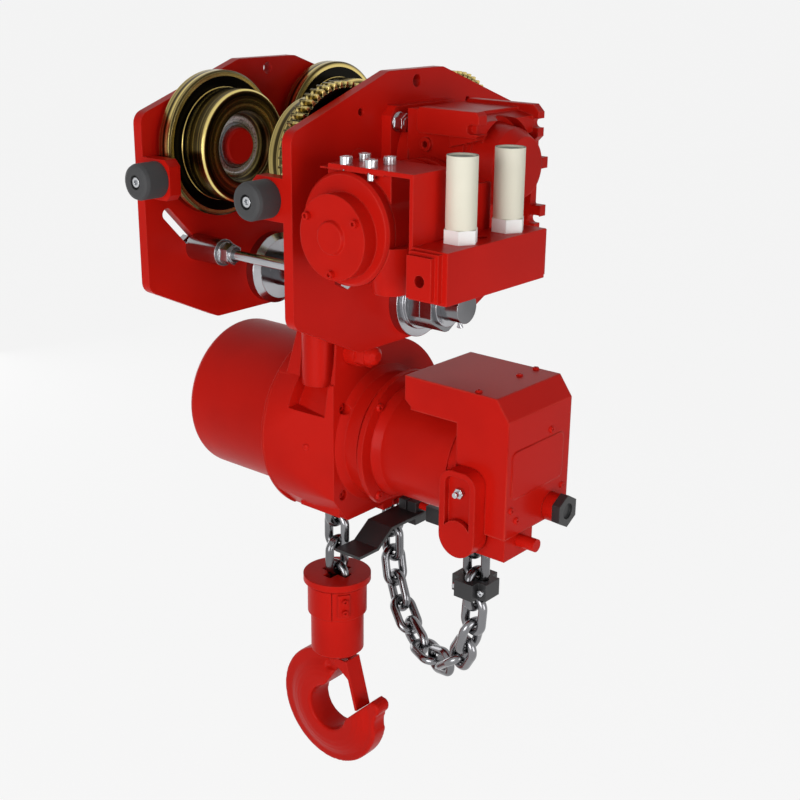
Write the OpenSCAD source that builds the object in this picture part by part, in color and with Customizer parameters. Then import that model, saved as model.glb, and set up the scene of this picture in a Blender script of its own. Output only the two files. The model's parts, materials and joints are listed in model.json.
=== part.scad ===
// Air-powered chain hoist hanging from a motor-driven beam trolley.
// X runs across the beam, Y along the beam, Z up. The origin is on the running
// surface of the beam flange, midway between the side plates and the wheels.

/* [Side plates] */
// Clear distance between the two side plates
plate_gap = 222; // [200:1:240]
// Thickness of a side plate
plate_t = 13; // [10:0.5:16]
// Length of a side plate along the beam
plate_w = 400; // [390:1:420]
// Length of the flat top edge of a plate
plate_top_w = 94; // [80:1:120]
// Length of the flat bottom edge of a plate
plate_foot_w = 190; // [170:1:220]
// Height of the top edge above the running surface
plate_top_z = 158; // [154:1:170]
// Height of the upper shoulder of a plate
shoulder_z = 104; // [98:1:110]
// Depth of the lower shoulder of a plate below the running surface
hip_drop = 99; // [90:1:105]
// Depth of the bottom edge of a plate below the running surface
foot_drop = 149; // [146:1:152]
// Radius of the plate's corners
plate_corner_r = 15; // [6:1:18]
// Diameter of the handling hole at the top of each plate
top_hole_d = 14; // [10:0.5:18]
// Diameter of the two small holes at the shoulders
small_hole_d = 8; // [6:0.5:10]
// Distance from the middle to each small hole
small_hole_y = 94; // [88:1:98]

/* [Wheels] */
// Diameter of the wheel tread
tread_d = 130; // [126:1:134]
// Width of the tread
tread_w = 35; // [30:1:38]
// Thickness of the flange
flange_t = 18; // [14:1:20]
// Diameter of the plain flange of the idle wheels
flange_d = 168; // [164:1:172]
// Running gap between a wheel and its plate
wheel_gap = 7; // [5:0.5:9]
// Module of the travel gears
travel_m = 3; // [3:0.1:3.1]
// Teeth on each driven wheel
travel_wheel_teeth = 54; // [54:2:56]
// Teeth on the travel pinion
travel_pinion_teeth = 11; // [11:2:13]
// Diameter of the wheel axle
axle_d = 42; // [40:1:44]
// Outer diameter of the wheel bearing
wheel_bearing_d = 74; // [70:1:78]
// Width of the wheel bearing
wheel_bearing_w = 18; // [14:1:20]
// Depth of the recess in the wheel's end face
wheel_recess = 16; // [12:1:18]

/* [Bumpers] */
// Size of the bumper's screw
bumper_screw_d = 7; // [6:0.5:8]
// Diameter of a rubber bumper
bumper_d = 41; // [36:1:44]
// Length of a rubber bumper
bumper_l = 31; // [24:1:40]
// Height of the bumper line above the running surface
bumper_z = 35; // [32:1:38]
// Height of the bracket block that carries a bumper
bumper_block_h = 46; // [44:1:50]
// Reach of the block inwards from the plate
bumper_block_w = 45; // [44:1:48]
// Thickness of the block along the beam
bumper_block_t = 16; // [12:1:17]

/* [Load bar] */
// Diameter of the load bar
bar_d = 42; // [38:1:44]
// Depth of the load bar below the running surface
bar_drop = 102; // [100:1:104]
// Diameter of the spacer rings on the load bar
bar_ring_d = 90; // [84:1:94]
// Thread diameter of the bar's ends
bar_thread_d = 36; // [34:1:37]
// Width across the flats of the bar nuts
bar_nut_af = 60; // [56:1:64]
// Thickness of a bar nut
bar_nut_t = 17; // [15:1:18]

/* [Guard rod] */
// Diameter of the guard rod under the beam
rod_d = 12; // [10:1:14]
// Distance of the guard rod from the middle along the beam
rod_y = 126; // [122:1:128]
// Depth of the guard rod below the running surface
rod_drop = 56.5; // [55:0.5:58]
// Diameter of the spacer sleeve on the guard rod
sleeve_d = 32; // [28:1:36]
// Length of the spacer sleeve
sleeve_l = 50; // [44:1:56]
// Width of the slanted slot in the idle plate
slot_w = 14; // [14:0.5:16]

/* [Travel drive] */
// Thickness of the adapter plate
adapter_t = 13; // [10:1:14]
// Height of the adapter plate
adapter_h = 114; // [110:1:118]
// Centre distance of the worm and the worm wheel
worm_drop = 55; // [54:0.5:56]
// Distance of the worm shaft from the middle of the beam
worm_x = 191; // [189:1:193]
// Distance from the middle to the outer edge of the gearbox
gearbox_x = 255; // [250:1:258]
// Half length of the gearbox along the beam
gearbox_y = 60; // [58:1:62]
// Height of the gearbox
gearbox_h = 144; // [140:1:148]
// Diameter of the travel motor
travel_motor_d = 116; // [112:1:118]
// Distance from the middle to the travel motor's end ring
travel_motor_end = 195; // [190:1:200]
// Offset of the rotor below the axis of the motor's casing
rotor_drop = 5.5; // [4:0.5:6]

/* [Air manifold] */
// Length of the manifold block along the beam
manifold_l = 165; // [160:1:170]
// Height of the manifold block
manifold_h = 52; // [48:1:56]
// Width of the manifold block
manifold_w = 43; // [42:1:48]
// Thickness of the sheet bracket
bracket_t = 4.5; // [3:0.5:5]
// Diameter of a muffler
muffler_d = 31; // [28:1:34]
// Height of a muffler above its hexagon
muffler_h = 71; // [60:1:100]
// Radius of the air ports in the manifold
port_r = 6; // [4:0.5:7]

/* [Hoist casing] */
// Diameter of the chain wheel housing
housing_d = 250; // [246:1:254]
// Diameter of the gear casing
gear_case_d = 208; // [204:1:212]
// Length of the gear casing
gear_case_l = 163; // [150:1:170]
// Diameter of the hoist motor
hoist_motor_d = 140; // [136:1:142]
// Depth of the hoist's shaft below the running surface
shaft_drop = 310; // [309:1:312]
// Distance of the suspension pin below the load bar
eye_l = 85; // [84:1:87]
// Diameter of the suspension pin
eye_pin_d = 18; // [16:1:20]
// Diameter of the lug at the foot of the suspension eye
eye_lug_d = 30; // [26:1:32]

/* [Control box] */
// Length of the control box across the beam
box_x1 = 271; // [266:1:276]
// Width of the control box along the beam
box_w = 130; // [128:1:134]
// Height of the control box
box_h = 171; // [168:1:174]
// Wall of the box cover
box_wall = 4; // [3:0.5:5]

/* [Chain and hook] */
// Diameter of the chain's bar
chain_bar = 11.5; // [11:0.5:12]
// Pitch of the chain
chain_pitch = 36; // [36:0.5:36.5]
// Outer width of a chain link
chain_w = 40; // [39:0.5:42]
// Play between two links
chain_play = 0.4; // [0.3:0.1:0.6]
// Play between two links where the chain hangs slack
slack_play = 2.3; // [2.2:0.1:2.5]
// Pockets on the chain wheel
pockets = 5; // [5:1:5]
// Depth of the hook block's top below the running surface
block_drop = 499; // [496:1:502]
// Height of the hook block
block_h = 114; // [110:1:118]
// Diameter of the hook block's barrel
block_d = 71; // [68:1:74]
// Diameter of the hook block's top flange
block_flange_d = 90; // [86:1:94]
// Thickness of the hook at its rim and tip
hook_t = 25; // [24:1:27]
// Thickness of the hook round the bowl
bowl_t = 40; // [36:1:42]
// Inner radius of the hook's bowl
bowl_r = 32; // [30:1:33]
// Outer radius of the hook's bowl
hook_r = 84; // [80:1:86]
// Depth of the bowl's centre below the hook block
bowl_drop = 89; // [88:1:91]

/* [Fits] */
// Radial running clearance of a shaft in its bore
run = 0.05; // [0.03:0.01:0.08]
// Gap between faces that move past each other
slip = 0.3; // [0.2:0.05:0.5]

/* [Hidden] */
$fn = 64;
red = [0.76, 0.09, 0.06];
gold = [0.62, 0.48, 0.18];
steel = [0.62, 0.63, 0.65];
dark = [0.25, 0.25, 0.27];
black = [0.06, 0.06, 0.06];
rubber = [0.22, 0.22, 0.22];
ivory = [0.93, 0.92, 0.82];

px = plate_gap / 2;
po = px + plate_t;
hy = plate_w / 2;
wheel_z = tread_d / 2;
wheel_y = travel_m * (travel_wheel_teeth + travel_pinion_teeth) / 2;
wheel_o = px - wheel_gap;
tread_o = wheel_o - flange_t;
wheel_i = tread_o - tread_w;
bearing_o = wheel_i + wheel_recess + wheel_bearing_w;
axle_i = wheel_i + wheel_recess - 7;
block_y0 = hy;
bumper_x = px - 23;
bar_z = -bar_drop;
rod_z = -rod_drop;
ring_t = 12;
washer_t = 4;
nut_x = po + ring_t + washer_t;
nut_end = nut_x + 2 * bar_nut_t;
bar_end = nut_end + washer_t + 24;
ad_x = po + adapter_t;
gear_x0 = ad_x + 14;
man_y0 = -travel_motor_end;
worm_z = wheel_z - worm_drop;
motor_z = worm_z + rotor_drop;
gear_top = 125;
gear_bot = gear_top - gearbox_h;
motor_r = travel_motor_d / 2;
motor_top = motor_z + motor_r + 2;
pad_t = 1.7;
screw_x = [worm_x - 2, worm_x + 31];
screw_y = [man_y0 + 6, man_y0 + 34];
muffler_y = [man_y0 + 49, man_y0 + 128];
brk_x = worm_x + 89;
man_y1 = man_y0 + manifold_l;
man_top = 11;
man_x = brk_x + manifold_w;
wheel_pitch_r = chain_pitch / 2 / sin(90 / pockets);
chain_r = sqrt(pow(wheel_pitch_r, 2) + pow(chain_bar / 2 / cos(90 / pockets), 2));
sh_y = chain_r;
sh_z = -shaft_drop;
house_r = housing_d / 2;
house_x0 = -70;
house_x1 = 27;
house_flat = -35;
house_bot = -414;
flat_top = -254;
facet_z = -379;
facet_y = -8;
pin_nut_x = -40;
pin_z = bar_z - eye_l;
eye_t = 28;
neck_top = -158;
flange_x = 72;
case_r = gear_case_d / 2;
hm_r = hoist_motor_d / 2;
box_x0 = 118;
box_y0 = sh_y - box_w / 2;
box_y1 = sh_y + box_w / 2;
box_top = -198;
box_bot = box_top - box_h;
shelf_z = sh_z + hm_r + slip;
box_mid = 197;
anchor_x = 204;
anchor_y = 32;
anchor_z = box_bot - 33;
anchor_pin_z = -382;
boss_x = 215;
boss_z = -374;
boss_y = box_y0 - 20;
port_y = 87;
port_z = -354;
slack_y = 2 * chain_r;
rod2_inset = 19.56;
rod2_y = box_y1 - rod2_inset;
rod2_z = -421;
stop_z = -461;
block_z = -block_drop;
hook_z = block_z - block_h;
bowl_z = hook_z - bowl_drop;
hg_m = 3;
sun_n = 15;
planet_n = 21;
ring_n = sun_n + 2 * planet_n;
carrier_r = hg_m * (sun_n + planet_n) / 2;
gear_a = -150;
gear_b = -112;

// A cylinder along X between two stations
module xcyl(r, x0, x1) { translate([x0, 0, 0]) rotate([0, 90, 0]) cylinder(r = r, h = x1 - x0); }
// A cone along X
module xcone(r0, r1, x0, x1) {
    translate([x0, 0, 0]) rotate([0, 90, 0]) cylinder(r1 = r0, r2 = r1, h = x1 - x0);
}
// A ring along X
module xring(ro, ri, x0, x1) { difference() { xcyl(ro, x0, x1); xcyl(ri, x0 - 1, x1 + 1); } }
// A hexagon along X, by its width across the flats
module xhex(af, x0, x1) {
    translate([x0, 0, 0]) rotate([0, 90, 0]) cylinder(r = af / sqrt(3), h = x1 - x0, $fn = 6);
}
// A cylinder along Y between two stations
module ycyl(r, y0, y1) { translate([0, y0, 0]) rotate([-90, 0, 0]) cylinder(r = r, h = y1 - y0); }
// A ring along Y
module yring(ro, ri, y0, y1) { difference() { ycyl(ro, y0, y1); ycyl(ri, y0 - 1, y1 + 1); } }
// A block between two corners
module block(a, b) { translate(a) cube(b - a); }
// A flat outline in Y and Z, given its thickness along X
module along_x(x0, x1) { translate([x0, 0, 0]) rotate([90, 0, 90]) linear_extrude(x1 - x0) children(); }
// A flat outline in X and Z, given its thickness along Y
module along_y(y0, y1) { translate([0, y1, 0]) rotate([90, 0, 0]) linear_extrude(y1 - y0) children(); }

function unit(v) = v / norm(v);
function corner_in(p, i) = unit(p[(i + len(p) - 1) % len(p)] - p[i]);
function corner_out(p, i) = unit(p[(i + 1) % len(p)] - p[i]);
function corner_half(p, i) = acos(corner_in(p, i) * corner_out(p, i)) / 2;
// A convex outline with its corners rounded to one radius
module round_poly(p, r) {
    polygon([for (i = [0:len(p) - 1]) for (u = [corner_in(p, i), corner_out(p, i)])
        p[i] + u * r / tan(corner_half(p, i))]);
    for (i = [0:len(p) - 1])
        translate(p[i] + unit(corner_in(p, i) + corner_out(p, i)) * r / sin(corner_half(p, i)))
            circle(r = r);
}
// A slot outline between two points
module slot2d(a, b, r) {
    t = unit([a[1] - b[1], b[0] - a[0]]) * r;
    polygon([a + t, b + t, b - t, a - t]);
    translate(a) circle(r = r);
    translate(b) circle(r = r);
}
// The outline of a spur gear with straight-sided teeth
module gear2d(m, n, turn = 0) {
    rt = m * (n / 2 + 0.9);
    rr = m * (n / 2 - 1.2);
    s = 360 / n;
    polygon([for (i = [0:n - 1]) for (q = [[rr, -0.34], [rt, -0.12], [rt, 0.12], [rr, 0.34]])
        q[0] * [cos(s * (i + q[1]) + turn), sin(s * (i + q[1]) + turn)]]);
}
// The outline of the space inside a ring gear
module ring_gear2d(m, n, turn = 0) {
    rt = m * (n / 2 - 0.9);
    rr = m * (n / 2 + 1.2);
    s = 360 / n;
    polygon([for (i = [0:n - 1]) for (q = [[rt, -0.38], [rr, -0.16], [rr, 0.16], [rt, 0.38]])
        q[0] * [cos(s * (i + q[1]) + turn), sin(s * (i + q[1]) + turn)]]);
}
// A socket-head screw standing on Z with its shank below
module cap_screw(d, l) {
    difference() {
        cylinder(d = 1.6 * d, h = d);
        translate([0, 0, d * 0.4]) cylinder(d = 0.9 * d, h = d, $fn = 6);
    }
    translate([0, 0, -l]) cylinder(d = d, h = l + 0.01);
}
// A low countersunk or button screw standing on Z
module button_screw(d, l) {
    difference() {
        cylinder(d1 = 1.9 * d, d2 = 1.3 * d, h = 0.5 * d);
        translate([0, 0, 0.2 * d]) cylinder(d = 0.7 * d, h = d, $fn = 6);
    }
    translate([0, 0, -l]) cylinder(d = d, h = l + 0.01);
}
// A chain link lying in the XZ plane, long along Z, with its bar made thicker by grow
module link(play, grow = 0) {
    e = (chain_w - chain_bar) / 2;
    h = (chain_pitch + play) / 2 + chain_bar / 2 - e;
    for (s = [0, 180]) rotate([0, s, 0]) {
        translate([0, 0, h]) rotate([90, 0, 0])
            rotate_extrude(angle = 180, $fn = 32) translate([e, 0]) circle(d = chain_bar + grow, $fn = 20);
        translate([e, 0, -h]) cylinder(d = chain_bar + grow, h = 2 * h, $fn = 20);
    }
}

// Side plate outline in Y and Z
module plate2d() {
    round_poly([[-plate_top_w / 2, plate_top_z], [-hy, shoulder_z], [-hy, -hip_drop],
        [-plate_foot_w / 2, -foot_drop], [plate_foot_w / 2, -foot_drop], [hy, -hip_drop],
        [hy, shoulder_z], [plate_top_w / 2, plate_top_z]], plate_corner_r);
}
// One side plate on the +X side with its bumper blocks and bolt holes
module side_plate(axle_r) {
    tab = 8;
    chamfer = 7;
    difference() {
        union() {
            along_x(px, po) plate2d();
            for (s = [-1, 1]) {
                y0 = min(s * block_y0, s * (block_y0 - bumper_block_t));
                along_y(y0, y0 + bumper_block_t)
                    polygon([[po, bumper_z - bumper_block_h / 2], [po, bumper_z + bumper_block_h / 2],
                        [px - bumper_block_w + chamfer, bumper_z + bumper_block_h / 2],
                        [px - bumper_block_w, bumper_z + bumper_block_h / 2 - chamfer],
                        [px - bumper_block_w, bumper_z - bumper_block_h / 2 + chamfer],
                        [px - bumper_block_w + chamfer, bumper_z - bumper_block_h / 2]]);
            }
        }
        translate([0, 0, plate_top_z - 13]) xcyl(top_hole_d / 2, px - 1, po + 1);
        for (s = [-1, 1]) {
            translate([0, s * small_hole_y, plate_top_z - 40]) xcyl(small_hole_d / 2, px - 1, po + 1);
            translate([0, s * wheel_y, wheel_z]) xcyl(axle_r, px - 1, po + 1);
            translate([bumper_x, 0, bumper_z]) ycyl(bumper_screw_d / 2 + run, min(s * (block_y0 + 1), s * (hy - 20)),
                max(s * (block_y0 + 1), s * (hy - 20)));
        }
        translate([0, 0, bar_z]) xcyl(bar_d / 2 + run, px - 1, po + 1);
        translate([0, -rod_y, rod_z]) xcyl(rod_d / 2 + run, px - 1, po + 1);
    }
}
module drive_plate() {
    color(red) difference() {
        side_plate(axle_d / 2 - 6 + run);
        translate([0, 0, wheel_z]) xcyl(26, px - 1, po + 1);
        for (y = [-1, 1]) for (z = [-1, 1])
            translate([0, y * 48, wheel_z + z * 40]) xcyl(6 + run, px - 1, po + 1);
    }
}
module idle_plate() {
    color(red) difference() {
        mirror([1, 0, 0]) side_plate(axle_d / 2 - 6 + run);
        along_x(-po - 1, -px + 1) slot2d([-168, -12], [-rod_y, rod_z], slot_w / 2);
    }
}
// Four rubber bumpers on the blocks
module bumpers() {
    color(rubber) for (x = [-bumper_x, bumper_x]) for (s = [0, 180])
        translate([x, 0, bumper_z]) rotate([0, 0, s]) rotate([90, 0, 0])
            translate([0, 0, block_y0]) difference() {
                rotate_extrude() polygon([[0, 0], [bumper_d / 2, 0], [bumper_d / 2, bumper_l - 5],
                    [bumper_d / 2 - 1.5, bumper_l - 1.5], [bumper_d / 2 - 5, bumper_l], [0, bumper_l]]);
                translate([0, 0, bumper_l - 8]) cylinder(d = 2.3 * bumper_screw_d, h = 20);
                translate([0, 0, -1]) cylinder(d = bumper_screw_d + 2 * run, h = bumper_l);
            }
}
// Socket screws of the bumpers and of the bracket on the travel motor
module trolley_screws() {
    color(steel) {
        for (x = [-bumper_x, bumper_x]) for (s = [0, 180])
            translate([x, 0, bumper_z]) rotate([0, 0, s]) rotate([90, 0, 0])
                translate([0, 0, block_y0 + bumper_l - 8]) cap_screw(bumper_screw_d, bumper_l + 6);
        for (x = screw_x) for (y = screw_y)
            translate([x, y, motor_top + bracket_t])
                cap_screw(8, bracket_t + (x < screw_x[1] && y < screw_y[1] ? pad_t - slip : 8));
    }
}
// Stub axles, riveted in the plates, with a red painted end
module wheel_axles() {
    color(red) for (s = [-1, 1]) for (w = [-1, 1]) translate([0, w * wheel_y, wheel_z])
        mirror([s < 0 ? 1 : 0, 0, 0]) {
            xcyl(axle_d / 2, axle_i, px);
            xcyl(axle_d / 2 - 6, px - 1, po);
            xcone(axle_d / 2 - 2, axle_d / 2, axle_i - 2, axle_i);
        }
}
// Ball bearings on the axles and the rings that hold them
module wheel_bearings() {
    r1 = axle_d / 2 + 0.02;
    r4 = wheel_bearing_d / 2;
    r2 = r1 + (r4 - r1) * 0.3;
    r3 = r1 + (r4 - r1) * 0.7;
    x0 = wheel_i + wheel_recess;
    color(steel) for (s = [-1, 1]) for (w = [-1, 1]) translate([0, w * wheel_y, wheel_z])
        mirror([s < 0 ? 1 : 0, 0, 0]) {
            xring(r2, r1, x0, bearing_o);
            xring(r4, r3, x0, bearing_o);
            for (a = [0:45:359]) rotate([a, 0, 0]) translate([(x0 + bearing_o) / 2, 0, (r2 + r3) / 2])
                sphere(r = (r3 - r2) / 2 + 0.6, $fn = 24);
            xring(r1 + 4, r1, x0 - 3, x0 - 0.2);
        }
}
// One wheel on the +X side, its axis along X, seated at the origin of Y and Z
module wheel(toothed, turn) {
    difference() {
        union() {
            if (toothed) along_x(tread_o, wheel_o) gear2d(travel_m, travel_wheel_teeth, turn);
            else {
                xcyl(flange_d / 2, tread_o + 2, wheel_o);
                xcone(flange_d / 2 - 2, flange_d / 2, tread_o, tread_o + 2);
            }
            xcyl(tread_d / 2, wheel_i + 2, tread_o + 1);
            xcone(tread_d / 2 - 2, tread_d / 2, wheel_i, wheel_i + 2);
        }
        xcyl(wheel_bearing_d / 2 + run, wheel_i + wheel_recess - 4, bearing_o + slip);
        xcone(wheel_bearing_d / 2 + 4, wheel_bearing_d / 2 + run, wheel_i - 1, wheel_i + wheel_recess - 3);
        xcyl(axle_d / 2 + 4, bearing_o, wheel_o + 1);
    }
}
module drive_wheel_front() { color(gold) translate([0, -wheel_y, wheel_z]) wheel(true, 0); }
module drive_wheel_rear() {
    color(gold) translate([0, wheel_y, wheel_z]) wheel(true, 180 / travel_wheel_teeth);
}
module idle_wheel_front() {
    color(gold) translate([0, -wheel_y, wheel_z]) mirror([1, 0, 0]) wheel(false, 0);
}
module idle_wheel_rear() {
    color(gold) translate([0, wheel_y, wheel_z]) mirror([1, 0, 0]) wheel(false, 0);
}
// The bar that joins the plates and carries the hoist
module load_bar() {
    color(dark) translate([0, 0, bar_z]) difference() {
        union() {
            xcyl(bar_d / 2, -po - ring_t, po + ring_t);
            xcyl(bar_thread_d / 2, -bar_end, bar_end);
        }
        for (s = [-1, 1]) translate([s * (bar_end - 9), 0, 0]) cylinder(r = 3.2, h = 60, center = true);
    }
}
// Collars and washers on the load bar, and the split pins at its ends
module bar_rings() {
    color(steel) translate([0, 0, bar_z]) for (s = [0, 1]) mirror([s, 0, 0]) {
        difference() {
            union() {
                xcyl(bar_ring_d / 2, px - ring_t, px);
                xcone(bar_ring_d / 2 - 7, bar_ring_d / 2, px - ring_t - 7, px - ring_t);
            }
            xcyl(bar_d / 2 + run, 0, po);
        }
        xring(bar_ring_d / 2, bar_d / 2 + run, po, po + ring_t);
        xring(bar_nut_af / 2 + 5, bar_thread_d / 2 + run, po + ring_t, nut_x);
        xring(bar_nut_af / 2 - 4, bar_thread_d / 2 + run, nut_end, nut_end + washer_t);
        translate([bar_end - 9, 0, 0]) {
            translate([0, 0, -bar_thread_d / 2 - 2]) cylinder(r = 3, h = bar_thread_d + 6);
            translate([0, 0, bar_thread_d / 2 + 5.2]) sphere(r = 5);
            for (t = [-25, 25]) translate([0, 0, -bar_thread_d / 2 - 1]) rotate([0, 180 + t, 0])
                cylinder(r = 2, h = 6);
        }
    }
}
module bar_nuts() {
    color(dark) translate([0, 0, bar_z]) for (s = [0, 1]) mirror([s, 0, 0])
        for (i = [0, 1]) difference() {
            intersection() {
                xhex(bar_nut_af, nut_x + i * bar_nut_t + (i == 0 ? 0 : 0.2), nut_x + (i + 1) * bar_nut_t);
                translate([nut_x + (i + 0.5) * bar_nut_t, 0, 0]) rotate([0, 90, 0])
                    cylinder(r = bar_nut_af / sqrt(3) - 2, h = 2 * bar_nut_t, center = true);
            }
            xcyl(bar_thread_d / 2 + run, nut_x - 1, nut_end + 1);
        }
}
// The polished rod under the beam, from plate to plate
module guard_rod() {
    color(steel) translate([0, -rod_y, rod_z]) {
        xcyl(rod_d / 2, -po - 18, po + 18);
    }
}
module rod_sleeve() {
    color(steel) translate([0, -rod_y, rod_z]) xring(sleeve_d / 2, rod_d / 2 + run, -px, -px + sleeve_l);
}
// Washers and nuts of the guard rod, and the studs and nuts of the adapter plate
module stud_nuts() {
    color(steel) {
        translate([0, -rod_y, rod_z]) {
            xring(13, rod_d / 2 + run, -px + sleeve_l, -px + sleeve_l + 2.5);
            difference() {
                xhex(22, -px + sleeve_l + 2.5, -px + sleeve_l + 16);
                xcyl(rod_d / 2 + run, -px, 0);
            }
            xring(9.5, rod_d / 2 + run, -px + sleeve_l + 16, -px + sleeve_l + 19);
            for (m = [0, 1]) mirror([m, 0, 0]) difference() {
                xhex(20, po, po + 10);
                xcyl(rod_d / 2 + run, po - 1, po + 12);
            }
            difference() {
                xhex(20, px - 10, px);
                xcyl(rod_d / 2 + run, px - 12, px + 1);
            }
        }
        for (y = [-1, 1]) for (z = [-1, 1]) translate([0, y * 48, wheel_z + z * 40]) {
            xcyl(6, px, ad_x + 13.5);
            xring(11, 6, ad_x, ad_x + 2.5);
            xhex(18, ad_x + 2.5, ad_x + 13);
        }
    }
}
// Adapter plate between the side plate and the gearbox
module adapter_plate() {
    c = 10;
    h = adapter_h / 2;
    l = gearbox_y - slip;
    color(red) translate([0, 0, wheel_z]) difference() {
        along_x(po, ad_x) polygon([[-l + c, h], [-l, h - c], [-l, -h + c], [-l + c, -h], [l - c, -h],
            [l, -h + c], [l, h - c], [l - c, h]]);
        xcyl(26, po - 1, ad_x + 1);
        for (y = [-1, 1]) for (z = [-1, 1]) translate([0, y * 48, z * 40])
            xcyl(6 + run, po - 1, ad_x + 1);
    }
}
// Outline of the gearbox's rear plate: two open slots and two small tabs at its outer edge
module rear_plate2d() {
    difference() {
        union() {
            polygon([[gear_x0, gear_bot + 8], [gear_x0 + 8, gear_bot], [gearbox_x - 8, gear_bot],
                [gearbox_x, gear_bot + 6], [gearbox_x, gear_bot + 30], [gearbox_x - 6, gear_bot + 36],
                [gearbox_x - 6, gear_top - 40], [gearbox_x, gear_top - 34], [gearbox_x, gear_top - 8],
                [gearbox_x - 8, gear_top], [gear_x0 + 8, gear_top], [gear_x0, gear_top - 8]]);
            for (z = [worm_z - 6, wheel_z - 8]) translate([gearbox_x - 10, z]) square([17, 12]);
        }
        for (z = [gear_top - 20, gear_bot + 19]) {
            translate([gearbox_x - 4, z]) circle(r = 5);
            translate([gearbox_x - 4, z - 5]) square([10, 10]);
        }
    }
}
// One of the two bars on the gearbox's front, with its open slot
module front_bar2d(z0, z1, zs) {
    difference() {
        polygon([[gear_x0 + 22, z0 + 4], [gear_x0 + 26, z0], [gearbox_x - 4, z0], [gearbox_x, z0 + 4],
            [gearbox_x, z1 - 4], [gearbox_x - 4, z1], [gear_x0 + 26, z1], [gear_x0 + 22, z1 - 4]]);
        translate([gearbox_x - 10, zs]) circle(r = 5);
        translate([gearbox_x - 10, zs - 5]) square([16, 10]);
    }
}
// Worm gearbox casing: round seat, body, front bars and rear plate
module gearbox_case() {
    color(red) difference() {
        union() {
            translate([0, 0, wheel_z]) {
                xcyl(50, ad_x, gear_x0 + 2);
                xcyl(47, gear_x0, gearbox_x - 22);
            }
            block([gear_x0, -gearbox_y + 12, gear_bot + 4], [gear_x0 + 76, gearbox_y - 10, gear_top - 4]);
            block([gear_x0 + 10, -gearbox_y, worm_z - 32], [gear_x0 + 68, gearbox_y - 2, worm_z + 32]);
            along_y(gearbox_y - 11, gearbox_y) rear_plate2d();
            along_y(-gearbox_y, -gearbox_y + 14) front_bar2d(gear_top - 27, gear_top, gear_top - 18);
            along_y(-gearbox_y, -gearbox_y + 14) front_bar2d(gear_bot, gear_bot + 27, gear_bot + 17);
            along_y(-gearbox_y + 8, gearbox_y - 6) polygon([[gear_x0 + 60, gear_top - 4],
                [gear_x0 + 96, gear_top - 12], [gear_x0 + 96, gear_top - 30], [gear_x0 + 60, gear_top - 40]]);
            translate([gear_x0 + 27, 0, gear_top - 40]) ycyl(7.5, -gearbox_y + 8, -gearbox_y + 13);
        }
        translate([0, 0, wheel_z]) xcyl(50.5, gearbox_x - 22, gearbox_x + 1);
        translate([0, 0, wheel_z]) {
            xcyl(36, gear_x0 + 12, gearbox_x + 1);
            xcyl(16, ad_x - 1, gear_x0 + 20);
        }
        translate([worm_x, 0, worm_z]) {
            ycyl(22, -gearbox_y - 1, gearbox_y - 20);
            ycyl(8 + run, gearbox_y - 21, gearbox_y - 8);
        }
        translate([gear_x0 + 27, 0, gear_top - 40]) ycyl(3.5, -gearbox_y + 6, -gearbox_y + 20);
    }
}
// Round domed cover on the gearbox's outer side
module gearbox_cover() {
    x1 = gearbox_x - 22;
    color(red) translate([0, 0, wheel_z]) {
        difference() {
            union() {
                xcone(45, 40, x1, x1 + 26);
                xcone(40, 32, x1 + 26, x1 + 40);
            }
            xcyl(12 + run, x1 - 1, x1 + 20);
        }
        for (a = [45:90:359]) rotate([a, 0, 0]) translate([x1, 0, 43]) intersection() {
            xcyl(7, 0, 9);
            xcone(7, 6, 0, 9);
        }
    }
}
// Travel motor casing with its top pad and the conical port boss
module travel_motor_case() {
    y0 = -travel_motor_end + 12;
    color(red) difference() {
        union() {
            translate([worm_x, 0, motor_z]) {
                ycyl(motor_r, y0, -gearbox_y - 24);
                ycyl(motor_r - 7, -gearbox_y - 25, -gearbox_y - 9);
                ycyl(motor_r, -gearbox_y - 10, -gearbox_y);
            }
            block([worm_x - 34, y0 + 2, motor_z + 30], [worm_x + 50, y0 + 54, motor_top]);
            block([worm_x - 34, y0 - 10, motor_top - pad_t], [worm_x + 50, y0 + 3, motor_top]);
            translate([worm_x + 42, -171, motor_z - 62]) cylinder(r1 = 17.5, r2 = 26, h = 50);
        }
        translate([worm_x, 0, motor_z]) {
            ycyl(42, y0 - 1, -gearbox_y - 40);
            ycyl(motor_r + slip, y0 - 20, y0);
        }
        translate([worm_x, 0, worm_z]) ycyl(14, y0, -gearbox_y + 1);
        translate([worm_x + 42, -171, motor_z - 63]) cylinder(r = 9, h = 22);
        for (x = screw_x) for (y = screw_y)
            translate([x, y, motor_top - 8.5]) cylinder(r = 4 + run, h = 20);
    }
}
// Stepped end cover, its raised disc set low with the rotor
module travel_motor_cover() {
    color(red) translate([worm_x, -travel_motor_end, motor_z]) difference() {
        union() {
            ycyl(motor_r, 3, 12);
            rotate([-90, 0, 0]) cylinder(r1 = motor_r - 3, r2 = motor_r, h = 3);
            translate([0, 0, -rotor_drop]) {
                ycyl(43.5, -18, 1);
                translate([0, -22, 0]) rotate([-90, 0, 0]) cylinder(r1 = 16, r2 = 18, h = 5);
            }
        }
        translate([0, 0, -rotor_drop]) {
            ycyl(10 + run, -8, 13);
            for (a = [30, 150, 270]) translate([37 * cos(a), 0, 37 * sin(a)]) ycyl(2.6, -19, 13);
        }
    }
}
module travel_cover_screws() {
    color(red) for (a = [30, 150, 270])
        translate([worm_x + 37 * cos(a), -travel_motor_end - 18, worm_z + 37 * sin(a)])
            rotate([90, 0, 0]) cap_screw(5, 22);
}
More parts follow.
